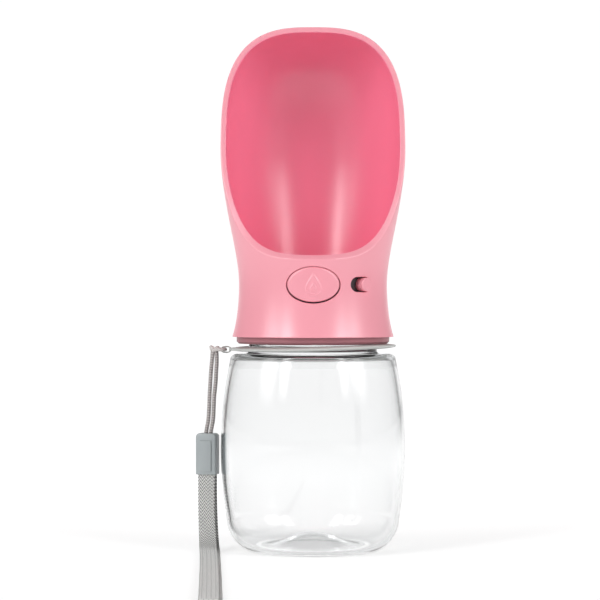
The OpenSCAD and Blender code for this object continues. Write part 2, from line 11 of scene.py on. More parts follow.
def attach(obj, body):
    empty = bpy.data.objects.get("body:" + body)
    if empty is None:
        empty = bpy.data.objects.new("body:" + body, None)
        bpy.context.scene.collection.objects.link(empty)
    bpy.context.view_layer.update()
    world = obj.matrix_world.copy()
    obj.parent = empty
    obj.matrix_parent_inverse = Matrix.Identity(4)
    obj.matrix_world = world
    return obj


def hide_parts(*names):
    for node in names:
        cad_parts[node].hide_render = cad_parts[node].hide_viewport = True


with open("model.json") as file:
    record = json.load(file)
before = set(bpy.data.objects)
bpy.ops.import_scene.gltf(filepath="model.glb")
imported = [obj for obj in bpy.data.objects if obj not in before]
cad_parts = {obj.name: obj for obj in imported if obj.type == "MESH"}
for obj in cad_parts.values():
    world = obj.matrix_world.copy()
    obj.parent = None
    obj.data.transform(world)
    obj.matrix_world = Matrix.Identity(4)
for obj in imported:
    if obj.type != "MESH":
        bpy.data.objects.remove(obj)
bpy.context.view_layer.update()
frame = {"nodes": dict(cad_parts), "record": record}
nodes = frame["nodes"]
scene = bpy.context.scene

MM = 0.001

# ---- Camera: level, a metre in front, at the height where round edges look straight in the photograph
SENSOR, FOCAL, CAMERA_AT = 36.0, 144.0, (-0.0054, -1.0, 0.1042)
camera_data = bpy.data.cameras.new("camera")
camera_data.sensor_width = SENSOR
camera_data.lens = FOCAL
camera_data.clip_start = 0.01
camera = bpy.data.objects.new("camera", camera_data)
camera.location = CAMERA_AT
camera.rotation_euler = (math.radians(90), 0, 0)
scene.collection.objects.link(camera)
scene.camera = camera


# ---- Meshes: points are in millimetres in the row frame
def smooth(me):
    me.polygons.foreach_set("use_smooth", [True] * len(me.polygons))


def make_mesh(name, points, faces, uv=None):
    me = bpy.data.meshes.new(name)
    me.from_pydata((np.asarray(points, float) * MM).tolist(), [], faces)
    me.validate()
    if uv is not None:
        layer = me.uv_layers.new(name="braid")
        index = np.zeros(len(me.loops), int)
        me.loops.foreach_get("vertex_index", index)
        layer.data.foreach_set("uv", np.asarray(uv, float)[index].ravel())
    smooth(me)
    me.update()
    return me


def add_object(name, me):
    ob = bpy.data.objects.new(name, me)
    scene.collection.objects.link(ob)
    return ob


def grid_faces(rows, cols, wrap_rows=False):
    """Quads between rows of points that each close into a loop."""
    faces = []
    for i in range(rows if wrap_rows else rows - 1):
        a, b = i * cols, ((i + 1) % rows) * cols
        for j in range(cols):
            k = (j + 1) % cols
            faces.append((a + j, a + k, b + k, b + j))
    return faces


def pole_faces(rows, cols):
    """Triangles that close a grid at its first and last row with the two points that follow it."""
    first, end = rows * cols, (rows - 1) * cols
    faces = []
    for j in range(cols):
        k = (j + 1) % cols
        faces += [(first, k, j), (first + 1, end + j, end + k)]
    return faces


def closed_mesh(name, points, faces, uv=None):
    """A mesh with every face turned outwards."""
    me = make_mesh(name, points, faces, uv)
    bm = bmesh.new()
    bm.from_mesh(me)
    bmesh.ops.recalc_face_normals(bm, faces=bm.faces)
    bm.to_mesh(me)
    bm.free()
    return me


def joined(name, parts):
    """One smooth mesh of several."""
    bm = bmesh.new()
    for part in parts:
        bm.from_mesh(part)
    me = bpy.data.meshes.new(name)
    bm.to_mesh(me)
    bm.free()
    smooth(me)
    return me


def revolve(name, profile, segments=160, sharp=40, place=None):
    """Turns a profile of (r, z) about Z. It either ends in a pole with r = 0 at both ends, or is closed."""
    profile = [(float(r), float(z)) for r, z in profile]
    angles = np.arange(segments) * 2 * math.pi / segments
    poles = profile[0][0] == 0 and profile[-1][0] == 0
    ring_rows = profile[1:-1] if poles else profile
    points = [(r * math.cos(a), r * math.sin(a), z) for r, z in ring_rows for a in angles]
    faces = grid_faces(len(ring_rows), segments, wrap_rows=not poles)
    if poles:
        points += [(0, 0, profile[0][1]), (0, 0, profile[-1][1])]
        faces += pole_faces(len(ring_rows), segments)
    points = np.array(points)
    if place is not None:
        points = (np.asarray(place)[:3, :3] @ points.T).T + np.asarray(place)[:3, 3]
    me = closed_mesh(name, points, faces)
    me.set_sharp_from_angle(angle=math.radians(sharp))
    return me


def boolean(ob, cutter_mesh, operation, sharp=34):
    """Cuts or joins exactly, and leaves a plain mesh."""
    cutter = add_object("cutter", cutter_mesh)
    mod = ob.modifiers.new("cut", "BOOLEAN")
    mod.operation = operation
    mod.solver = "EXACT"
    mod.object = cutter
    bpy.context.view_layer.update()
    done = bpy.data.meshes.new_from_object(ob.evaluated_get(bpy.context.evaluated_depsgraph_get()))
    ob.modifiers.clear()
    ob.data = done
    bpy.data.objects.remove(cutter)
    smooth(done)
    done.set_sharp_from_angle(angle=math.radians(sharp))


def arc(cx, cz, radius, start, end, steps):
    """Points of an arc in the (r, z) plane, in degrees."""
    turn = np.radians(np.linspace(start, end, steps + 1))
    return [(cx + radius * math.cos(t), cz + radius * math.sin(t)) for t in turn]


# ---- Swept pieces
def catmull(route, step):
    """The smooth curve through a route, resampled at even steps."""
    p = np.array(route, float)
    p = np.vstack([p[:1], p, p[-1:]])
    t = np.linspace(0, 1, 40, endpoint=False)[:, None]
    parts = []
    for i in range(len(route) - 1):
        a, b, c, d = p[i : i + 4]
        square, cube = 2 * a - 5 * b + 4 * c - d, 3 * b - a - 3 * c + d
        parts.append(0.5 * (2 * b + (c - a) * t + square * t * t + cube * t**3))
    dense = np.vstack(parts + [p[-1:]])
    length = np.concatenate([[0], np.cumsum(np.linalg.norm(np.diff(dense, axis=0), axis=1))])
    count = max(4, int(round(length[-1] / step)))
    s = np.linspace(0, length[-1], count + 1)
    return np.column_stack([np.interp(s, length, dense[:, k]) for k in range(3)]), s


def frames(path, side):
    """Tangent, side and face direction at each point of a path."""
    t = np.gradient(path, axis=0)
    t /= np.linalg.norm(t, axis=1)[:, None]
    side = np.broadcast_to(np.asarray(side, float), path.shape)
    w = side - (side * t).sum(1)[:, None] * t
    w /= np.linalg.norm(w, axis=1)[:, None]
    return t, w, np.cross(w, t)


def capped_tube(name, points, uv=None):
    """A closed tube from rows of points."""
    rows, m = points.shape[:2]
    faces = grid_faces(rows, m) + [tuple(range(m))[::-1], tuple(range((rows - 1) * m, rows * m))]
    return closed_mesh(name, points.reshape(-1, 3), faces, uv)


def sweep(name, path, side, outline, uv=None):
    """A closed tube along a path; outline is one (m, 2) section, or one for each point of the path."""
    t, w, n = frames(path, side)
    sections = np.broadcast_to(outline, (len(path),) + np.shape(outline)[-2:])
    points = path[:, None, :] + sections[:, :, :1] * w[:, None, :] + sections[:, :, 1:] * n[:, None, :]
    return capped_tube(name, points, uv)


CORD_D = 1.7
CORD_LAY = 2.1
CORD_SIDES = 24
CORD_STEP = 0.16
STRAP_W = 7.3
STRAP_T = 1.1
cord_left_route = [
    (-44.8, 0.3, 45.3), (-44.7, 0.3, 47.5), (-44.3, 0.2, 50.5), (-43.6, 0, 54.5), (-43.3, 0, 59.5),
    (-43.1, 0, 64.5), (-42.8, 0, 69.5), (-42.5, 0, 74.5), (-42.1, 0, 79), (-41.8, 0, 82.9),
]
cord_right_route = [
    (-42.9, -0.3, 45.3), (-42.8, -0.3, 47.5), (-42.3, -0.2, 50.5), (-41.6, 0, 54.5), (-41.35, 0, 59.5),
    (-41.1, 0, 64.5), (-40.6, 0, 69.5), (-40.3, 0, 74.5), (-40.1, 0, 79), (-40.2, 0, 82.9),
]
hitch_route = [
    (-40.8, -1.1, 83.8), (-39.4, -1.8, 83.7), (-38, -1.95, 83.6), (-36.9, -1.2, 83.6), (-36.6, 0, 83.6),
    (-36.9, 1.2, 83.6), (-38, 1.95, 83.6), (-39.4, 1.8, 83.7), (-40.8, 1.1, 83.8),
]
hitch_centre = (-41, 0, 83.7)
strap_front_route = [
    (-44.26, -1.35, 37.3), (-44.26, -1.35, 31), (-44.26, -1.45, 24), (-44.2, -1.8, 17), (-44, -2.8, 10.5),
    (-43.7, -5.4, 5.6), (-43.4, -10, 2.8), (-43, -17, 1.95), (-42.3, -32, 1.95), (-41.4, -52, 1.95),
    (-40.6, -72, 1.95), (-39.8, -92, 1.95), (-39.1, -112, 1.95), (-38.3, -132, 1.95), (-37.6, -152, 1.95),
    (-36.9, -172, 1.95), (-36.5, -184, 2.1),
]
strap_back_route = [
    (-43.54, 1.35, 37.3), (-43.54, 1.35, 31), (-43.54, 1.25, 24), (-43.4, 1, 17), (-43.1, 0.2, 9.8),
    (-42.7, -2.4, 3.9), (-42.2, -7.5, 1.1), (-41.7, -15, 0.65), (-41.1, -32, 0.65), (-40.3, -52, 0.65),
    (-39.5, -72, 0.65), (-38.7, -92, 0.65), (-37.9, -112, 0.65), (-37.2, -132, 0.65), (-36.4, -152, 0.65),
    (-35.7, -172, 0.65), (-35.3, -188, 0.65), (-35.3, -196, 0.75), (-35.6, -199.5, 1.9), (-36, -197, 3.1),
    (-36.3, -192, 2.8), (-36.5, -184, 2.1),
]
CLASP_TURN = math.radians(-15)
strap_side = (math.cos(CLASP_TURN), math.sin(CLASP_TURN), 0)


def round_turn(sides):
    return np.arange(sides) * 2 * math.pi / sides


def round_braid(s, turn, radius, relief):
    """Sections of a round braid: the radius rises where the strands of either direction cross on top."""
    lay = 2 * math.pi / CORD_LAY
    height = np.cos(4 * turn[None] + lay * s[:, None]) * np.cos(4 * turn[None] - lay * s[:, None])
    r = radius * (0.97 + relief * height)
    return np.stack([r * np.cos(turn), r * np.sin(turn)], axis=2)


def braid_uv(s, across):
    """For each point of a sweep, the length along it and its place across or round it."""
    lengths, places = np.repeat(s[:, None], len(across), 1), np.repeat(across[None], len(s), 0)
    return np.stack([lengths, places], axis=2).reshape(-1, 2)


def braided_cord(name, route):
    path, s = catmull(route, CORD_STEP)
    turn = round_turn(CORD_SIDES)
    ring = round_braid(s, turn, CORD_D / 2, 0.07)
    return sweep(name, path, (0, 1, 0), ring, uv=braid_uv(s, turn)), path, s[-1]


BRAID_COLS = 8
BRAID_PITCH = 1.4
BRAID_LEAN = 1.1
BRAID_DEPTH = 0.17
FACE_POINTS = 37


def strand(s, across):
    """Height from 0 to 1 of the herringbone strands at s along and across from 0 to 1."""
    col = across * BRAID_COLS
    t = col - np.floor(col)
    lean = np.where(np.floor(col) % 2 == 0, t, 1 - t)
    saw = s / BRAID_PITCH + BRAID_LEAN * lean
    saw = saw - np.floor(saw)
    return np.clip(1 - (2.2 * (saw - 0.5)) ** 2, 0, 1) * np.sin(math.pi * np.clip(t, 0, 1)) ** 0.35


def braided_strap(name, route):
    """A flat herringbone braid."""
    path, s = catmull(route, 0.27)
    half_w, half_t, cut = STRAP_W / 2, STRAP_T / 2, 0.4
    across = np.linspace(0, 1, FACE_POINTS)
    face_x = (half_w - cut) * (2 * across - 1)
    edge = np.radians([60, 25, -25, -60])
    edge_x, edge_y = half_w - cut + cut * np.cos(edge), half_t * np.sin(edge)
    xs = np.concatenate([face_x, edge_x, face_x[::-1], -edge_x])
    base = np.concatenate([np.full(FACE_POINTS, half_t), edge_y, np.full(FACE_POINTS, -half_t), -edge_y])
    share = np.concatenate([across, np.ones(4), across[::-1], np.zeros(4)])
    on_face = np.concatenate([np.ones(FACE_POINTS), np.zeros(4), np.ones(FACE_POINTS), np.zeros(4)])
    height = strand(s[:, None], share[None] * 0.9999) * on_face[None]
    ys = base[None] + np.sign(base)[None] * on_face[None] * BRAID_DEPTH * (height - 1)
    ring = np.stack([np.repeat(xs[None], len(s), 0), ys], axis=2)
    return sweep(name, path, strap_side, ring, uv=braid_uv(s, share)), path, s[-1]


# ---- Clasp and knot, which go with the cords
CLASP_X, CLASP_Z, CLASP_W, CLASP_D, CLASP_H = -43.9, 31.6, 8.7, 6.0, 17.2
CLASP_TOP, CLASP_CUT = CLASP_Z + CLASP_H, 1.0
MOUTH_W, MOUTH_D, MOUTH_H = 7.5, 4.1, 5.5
HOLE_W, HOLE_D, HOLE_H = 4.4, 1.9, 3.6
PANEL_W, PANEL_FROM, PANEL_TO = 5.1, 1.4, 14.2


def bevelled(name, outline, y_from, y_to, bevel):
    """A prism along Y with every edge rounded; the outline is in x and z."""
    m = len(outline)
    points = [(x, y_from, z) for x, z in outline] + [(x, y_to, z) for x, z in outline]
    faces = [tuple(range(m)), tuple(range(m, 2 * m))[::-1]]
    faces += [(i, i + m, (i + 1) % m + m, (i + 1) % m) for i in range(m)]
    me = make_mesh(name, points, faces)
    bm = bmesh.new()
    bm.from_mesh(me)
    bmesh.ops.recalc_face_normals(bm, faces=bm.faces)
    bmesh.ops.bevel(bm, geom=bm.edges[:], offset=bevel * MM, segments=3, profile=0.5, affect="EDGES")
    bm.to_mesh(me)
    bm.free()
    smooth(me)
    me.set_sharp_from_angle(angle=math.radians(30))
    return me


def box_mesh(name, width, depth, z0, z1):
    """A box about the Z axis."""
    x0, x1, y0, y1 = -width / 2, width / 2, -depth / 2, depth / 2
    points = [(x, y, z) for z in (z0, z1) for y in (y0, y1) for x in (x0, x1)]
    faces = [(0, 2, 3, 1), (4, 5, 7, 6), (0, 1, 5, 4), (2, 6, 7, 3), (0, 4, 6, 2), (1, 3, 7, 5)]
    return make_mesh(name, points, faces)


def at_clasp(me):
    """Hangs a mesh, made round the Z axis, where the clasp is."""
    me.transform(Matrix.Translation((CLASP_X * MM, 0, 0)) @ Matrix.Rotation(CLASP_TURN, 4, "Z"))
    return me


half = CLASP_W / 2
clasp_case = add_object("clasp_case", at_clasp(bevelled(
    "clasp_case",
    [(-half, CLASP_Z), (half, CLASP_Z), (half, CLASP_TOP - CLASP_CUT), (half - CLASP_CUT, CLASP_TOP),
     (CLASP_CUT - half, CLASP_TOP), (-half, CLASP_TOP - CLASP_CUT)],
    -CLASP_D / 2, CLASP_D / 2, 0.45,
)))
mouth = box_mesh("mouth", MOUTH_W, MOUTH_D, CLASP_Z - 1, CLASP_Z + MOUTH_H)
boolean(clasp_case, at_clasp(mouth), "DIFFERENCE")
cord_hole = box_mesh("cord_hole", HOLE_W, HOLE_D, CLASP_TOP - HOLE_H, CLASP_TOP + 1)
boolean(clasp_case, at_clasp(cord_hole), "DIFFERENCE")
half = PANEL_W / 2
clasp_panel = add_object("clasp_panel", at_clasp(bevelled(
    "clasp_panel",
    [(-half, CLASP_Z + PANEL_FROM), (half, CLASP_Z + PANEL_FROM), (half, CLASP_Z + PANEL_TO),
     (-half, CLASP_Z + PANEL_TO)],
    -CLASP_D / 2 - 0.5, -CLASP_D / 2 + 0.4, 0.22,
)))
KNOT_R, KNOT_LEANS, KNOT_APART, KNOT_TIGHT = 1.25, (-28, 8, 40), 0.45, 0.82


def knot_mesh():
    """The loop through the eyelet, and the turns of the knot that it is drawn into, as one piece."""
    parts = []

    def strand_along(path, s, radius):
        parts.append(sweep("part", path, (0.1, 0.2, 1), round_braid(s, round_turn(20), radius, 0.06)))

    loop_path, s = catmull(hitch_route, CORD_STEP)
    strand_along(loop_path, s, CORD_D / 2)
    cx, cy, cz = hitch_centre
    a = np.linspace(0, 2 * math.pi, 72)
    for k, degrees in enumerate(KNOT_LEANS):
        lean = math.radians(degrees)
        x = KNOT_R * np.cos(a) * math.cos(lean) + (k - 1) * KNOT_APART
        z = KNOT_R * np.cos(a) * math.sin(lean) + 0.35 * np.sin(2 * a) - 0.2 * (k - 1)
        path = np.column_stack([cx + x, cy + KNOT_R * np.sin(a), cz + z])
        strand_along(path, a * KNOT_R, CORD_D / 2 * KNOT_TIGHT)
    return joined("cord_knot", parts)


cord_knot = add_object("cord_knot", knot_mesh())

cord_pieces = []
for name, node, route in (
    ("cord_left_strand", "cord_left", cord_left_route),
    ("cord_right_strand", "cord_right", cord_right_route),
):
    me, path, length = braided_cord(name, route)
    piece = add_object(name, me)
    cord_pieces.append((piece, node))
for name, node, route in (
    ("strap_front_layer", "strap_front", strap_front_route),
    ("strap_back_layer", "strap_back", strap_back_route),
):
    me, path, length = braided_strap(name, route)
    piece = add_object(name, me)
    cord_pieces.append((piece, node))

# ---- Bottle: the same outline as the CAD bottle, with many more points
BOTTLE_R, SHOULDER_Z, BELLY_Z, SIDE_ARC, WALL = 38.5, 82.0, 42.5, 175.0, 1.8
FOOT_H, FOOT_R, FOOT_FLAT, PUNT_H, FOOT_SQUARE = 14.0, 24.0, 2.0, 5.8, 1.9
NECK_R, TUBE_R, MOUTH_R = 26.7, 25.2, 23.4
TUBE_Z = SHOULDER_Z + 3.8
NECK_TOP = TUBE_Z + 11.7
PUNT_R = FOOT_R - FOOT_FLAT


def side_r(z):
    return BOTTLE_R - SIDE_ARC + math.sqrt(SIDE_ARC**2 - (z - BELLY_Z) ** 2)


def superellipse(r_in, r_out, h, n, steps, lift):
    """A quarter of a rounded box's outline, from its floor to its side."""
    turn = np.radians(np.linspace(0, 90, steps + 1))
    rise = [1 - max(math.cos(a), 0) ** (2 / n) for a in turn]
    return [(r_in + (r_out - r_in) * math.sin(a) ** (2 / n), lift + h * up) for a, up in zip(turn, rise)]


punt = [(PUNT_R * k / 30, PUNT_H * (1 + math.cos(math.pi * k / 30)) / 2) for k in range(31)]
sides = [(side_r(z), z) for z in np.linspace(FOOT_H + 1, SHOULDER_Z - 3.5, 44)]
shoulder = arc(side_r(SHOULDER_Z - 2.5) - 2.5, SHOULDER_Z - 2.5, 2.5, 0, 90, 12)
inner_shoulder = arc(side_r(SHOULDER_Z - WALL) - WALL - 1.5, SHOULDER_Z - WALL - 1.5, 1.5, 0, 90, 8)
outer = punt + superellipse(FOOT_R, side_r(FOOT_H), FOOT_H, FOOT_SQUARE, 34, 0)
outer += sides + shoulder
outer += arc(NECK_R + 1.3, SHOULDER_Z + 1.3, 1.3, 270, 180, 8)
outer += [(NECK_R, TUBE_Z - 0.3), (NECK_R - 0.3, TUBE_Z), (TUBE_R, TUBE_Z), (TUBE_R, NECK_TOP - 0.5)]
outer += arc(TUBE_R - 0.5, NECK_TOP - 0.5, 0.5, 20, 90, 4)
inner = [(r, z + WALL) for r, z in punt]
inner += superellipse(FOOT_R, side_r(FOOT_H) - WALL, FOOT_H - WALL, FOOT_SQUARE, 34, WALL)
inner += [(r - WALL, z) for r, z in sides if z < SHOULDER_Z - WALL - 2]
inner += inner_shoulder
inner += [(MOUTH_R + 0.8, SHOULDER_Z - WALL), (MOUTH_R, SHOULDER_Z - WALL + 0.8), (MOUTH_R, NECK_TOP - 0.4),
          (MOUTH_R + 0.4, NECK_TOP)]


def spaced(profile):
    """A profile without points that lie on one another."""
    kept = [profile[0]]
    for p in profile[1:]:
        if math.hypot(p[0] - kept[-1][0], p[1] - kept[-1][1]) > 0.02:
            kept.append(p)
    return kept


bottle_piece = add_object("clear_bottle", revolve("clear_bottle", spaced(outer + inner[::-1]), 192, sharp=60))


THREAD_FROM, THREAD_PITCH, THREAD_TURNS, THREAD_SEG = 3, 4, 1.4, 96


def thread_mesh():
    """One ridge round the neck that swells from nothing and fades out again."""
    a = np.arange(int(THREAD_TURNS * THREAD_SEG) + 1) * 2 * math.pi / THREAD_SEG
    rise = TUBE_Z + THREAD_FROM + THREAD_PITCH * a / (2 * math.pi)
    path = np.column_stack([TUBE_R * np.cos(a), TUBE_R * np.sin(a), rise])
    fade = np.clip(np.minimum(np.arange(len(a)), np.arange(len(a))[::-1]) / 8, 0.12, 1)
    shape = np.array([
        (-0.35, -0.95), (0.9, -0.62), (1.25, -0.4), (1.4, 0), (1.25, 0.4), (0.9, 0.62), (-0.35, 0.95)])
    rings = np.repeat(shape[None], len(a), 0)
    rings[:, :, 0] = np.where(rings[:, :, 0] > 0, rings[:, :, 0] * fade[:, None], rings[:, :, 0])
    radial = np.column_stack([np.cos(a), np.sin(a), np.zeros_like(a)])
    points = path[:, None] + rings[:, :, :1] * radial[:, None] + rings[:, :, 1:] * np.array([0, 0, 1.0])
    return capped_tube("thread", points)


boolean(bottle_piece, thread_mesh(), "UNION", sharp=60)

# ---- Head: an outer skin and an inner skin that meet in the rounded rim
SHELL_Z, WAIST_Z, WIDE_Z = 88.9, 110.5, 167.5
HEAD_WALL, FLOOR_Z, FLOOR_T, FLOOR_ROUND = 2.3, 119.7, 1.6, 5.0
SCOOP_R, DOME_H, DOME_SQUARE = 38.5, 50.6, 2.9
WAIST_R, SKIRT_R = 30.8, 33.7
LIP_Z, RIM_BACK, RIM_SWEEP = 120.68, 1.5, 60.0
RIM_BOW_Y, RIM_BOW_Z, RIM_LEAN = 1.02, 1.55, 1.45
OUTLET_R = 4.1
RIM_ROUND = 0.45


def bezier(points, count):
    """A cubic curve by its four points."""
    t = np.linspace(0, 1, count)[:, None]
    a, b, c, d = (np.array(p, float) for p in points)
    return (1 - t) ** 3 * a + 3 * t * (1 - t) ** 2 * b + 3 * t * t * (1 - t) * c + t**3 * d


WAIST_H, FLANK_H = WAIST_Z - SHELL_Z, WIDE_Z - WAIST_Z
skirt = bezier([(SKIRT_R, SHELL_Z), (SKIRT_R - 1.5, SHELL_Z + 0.19 * WAIST_H),
                (WAIST_R, SHELL_Z + 0.58 * WAIST_H), (WAIST_R, WAIST_Z)], 300)
flank = bezier([(WAIST_R, WAIST_Z), (WAIST_R, WAIST_Z + 0.26 * FLANK_H),
                (SCOOP_R, WIDE_Z - 0.39 * FLANK_H), (SCOOP_R, WIDE_Z)], 700)
housing = np.vstack([skirt, flank[1:]])


def dome(r, h):
    """The scoop's top, from its widest height to its pole."""
    a = np.linspace(0, math.pi / 2, 1500)
    return np.column_stack([r * np.cos(a).clip(0) ** (2 / DOME_SQUARE),
                            WIDE_Z + h * np.sin(a).clip(0) ** (2 / DOME_SQUARE)])


def head_r(z):
    return float(np.interp(z, housing[:, 1], housing[:, 0]))


class Skin:
    """A surface of revolution by its profile, with the length along the profile as its parameter."""

    def __init__(self, profile):
        keep = np.concatenate([[True], np.linalg.norm(np.diff(profile, axis=0), axis=1) > 1e-6])
        self.p = profile[keep]
        self.u = np.concatenate([[0], np.cumsum(np.linalg.norm(np.diff(self.p, axis=0), axis=1))])

    def at(self, u):
        return np.interp(u, self.u, self.p[:, 0]), np.interp(u, self.u, self.p[:, 1])

    def point(self, phi, u):
        r, z = self.at(u)
        return np.stack([r * np.cos(phi), r * np.sin(phi), z + 0 * phi], axis=-1)

    def locate(self, q):
        """The nearest place (phi, u) on the surface for each point."""
        rho = np.hypot(q[:, 0], q[:, 1])
        d = (self.p[None, :, 0] - rho[:, None]) ** 2 + (self.p[None, :, 1] - q[:, 2][:, None]) ** 2
        k = d.argmin(1)
        best_u, best_d = self.u[k], d.min(1)
        for shift in (-1, 0):
            i = np.clip(k + shift, 0, len(self.p) - 2)
            a, b = self.p[i], self.p[i + 1]
            ab = b - a
            t = ((rho - a[:, 0]) * ab[:, 0] + (q[:, 2] - a[:, 1]) * ab[:, 1]) / (ab**2).sum(1)
            t = t.clip(0, 1)
            c = a + ab * t[:, None]
            dist = (c[:, 0] - rho) ** 2 + (c[:, 1] - q[:, 2]) ** 2
            better = dist <= best_d
            best_u = np.where(better, self.u[i] + t * (self.u[i + 1] - self.u[i]), best_u)
            best_d = np.where(better, dist, best_d)
        return np.arctan2(q[:, 1], q[:, 0]), best_u

    def normal(self, phi, u):
        eps = 0.05
        r0, z0 = self.at(np.clip(u - eps, 0, self.u[-1]))
        r1, z1 = self.at(np.clip(u + eps, 0, self.u[-1]))
        nr, nz = z1 - z0, r0 - r1
        size = np.hypot(nr, nz)
        return np.stack([nr / size * np.cos(phi), nr / size * np.sin(phi), nz / size], axis=-1)


outer_skin = Skin(np.vstack([housing, dome(SCOOP_R, DOME_H)[1:]]))
fillet_r = head_r(FLOOR_Z + FLOOR_ROUND) - HEAD_WALL
fillet = np.array(superellipse(fillet_r - FLOOR_ROUND, fillet_r, FLOOR_ROUND, 2, 60, FLOOR_Z))
upper = housing[housing[:, 1] > FLOOR_Z + FLOOR_ROUND] - np.array([HEAD_WALL, 0])
inner_skin = Skin(np.vstack([[[OUTLET_R, FLOOR_Z]], fillet, upper,
                             dome(SCOOP_R - HEAD_WALL, DOME_H - HEAD_WALL)[1:]]))


def rim_curve(skin_r, lip_y, lift):
    """The right half of the rim's edge on one skin: its sweep from the lip, and its straight part."""
    a = np.linspace(0, math.pi / 2, 6000)
    y = lip_y + (RIM_BACK - lip_y) * np.sin(a) ** RIM_BOW_Y
    z = LIP_Z + RIM_SWEEP * (1 - np.cos(a).clip(0) ** RIM_BOW_Z) + lift * np.cos(a).clip(0) ** 1.3
    r = np.interp(z, *skin_r)
    on = np.abs(y) < r
    swept = np.column_stack([np.sqrt((r**2 - y**2).clip(0)), y, z])[on]
    zs = np.linspace(LIP_Z + RIM_SWEEP, skin_r[0][-1], 40000)
    rs = np.interp(zs, *skin_r)
    ok = rs > abs(RIM_BACK)
    straight = np.column_stack([np.sqrt((rs**2 - RIM_BACK**2).clip(0)), np.full_like(zs, RIM_BACK), zs])[ok]
    return swept, straight


def along(points, share):
    """Points at shares of a line's length, and that length."""
    length = np.concatenate([[0], np.cumsum(np.linalg.norm(np.diff(points, axis=0), axis=1))])
    at = share * length[-1]
    return np.column_stack([np.interp(at, length, points[:, k]) for k in range(3)]), length[-1]


def by_height(skin):
    """Radius against height, for the part of a profile that rises."""
    p = skin.p[skin.p[:, 1] > FLOOR_Z - 30]
    rise = np.concatenate([[True], np.diff(p[:, 1]) > 1e-9])
    return p[rise][:, 1], p[rise][:, 0]


outer_r, inner_r = by_height(outer_skin), by_height(inner_skin)
lip_y = -head_r(LIP_Z) - 0.8
swept_o, straight_o = rim_curve(outer_r, lip_y, 0.0)
swept_i, straight_i = rim_curve(inner_r, lip_y, RIM_LEAN)
# Both halves meet exactly in the middle
swept_o[0, 0] = swept_i[0, 0] = 0
straight_o[-1, 0] = straight_i[-1, 0] = 0

COLUMNS = 288
len_swept, len_straight = along(swept_o, np.array([0]))[1], along(straight_o, np.array([0]))[1]
stations = np.linspace(0, len_swept + len_straight, COLUMNS // 2 + 1)
on_sweep = stations <= len_swept
share_sweep = stations[on_sweep] / len_swept
share_straight = (stations[~on_sweep] - len_swept) / len_straight


def half_rim(swept, straight):
    return np.vstack([along(swept, share_sweep)[0], along(straight, share_straight)[0]])


def mirrored(half_points):
    """The whole loop from its right half: lip, right side, top, left side."""
    left = half_points[-2:0:-1] * np.array([-1, 1, 1])
    return np.vstack([half_points, left])


rim_o, rim_i = mirrored(half_rim(swept_o, straight_o)), mirrored(half_rim(swept_i, straight_i))


def into_shell(skin, rim):
    """The direction in the surface that leads away from the rim's edge."""
    phi, u = skin.locate(rim)
    n = skin.normal(phi, u)
    t = np.roll(rim, -1, 0) - np.roll(rim, 1, 0)
    t /= np.linalg.norm(t, axis=1)[:, None]
    d = np.cross(n, t)
    d *= np.sign(d @ np.array([0, 1.0, -1.0]))[:, None]
    return d / np.linalg.norm(d, axis=1)[:, None]


share_loop = np.arange(COLUMNS) / COLUMNS
even_phi = -math.pi / 2 + 2 * math.pi * share_loop


SKIN_ROWS = 84
NEAR_RIM = (RIM_ROUND, 0.8, 1.4, 2.4)


def skin_rows(skin, rim, direction, start_u):
    """Rows of points from the rim's rounding down the skin to its far end."""
    near = []
    for d in NEAR_RIM:
        phi, u = skin.locate(rim + direction * d)
        near.append((np.unwrap(phi), u))
    phi_r, u_r = near[-1]
    base_phi = 0.5 * phi_r + 0.5 * even_phi
    out = [skin.point(phi, u) for phi, u in near]
    for k in range(1, SKIN_ROWS + 1):
        w = 1 - k / SKIN_ROWS
        u = start_u + (u_r - start_u) * w
        phi = base_phi + (phi_r - base_phi) * w**2
        out.append(skin.point(phi, u))
    return out, base_phi


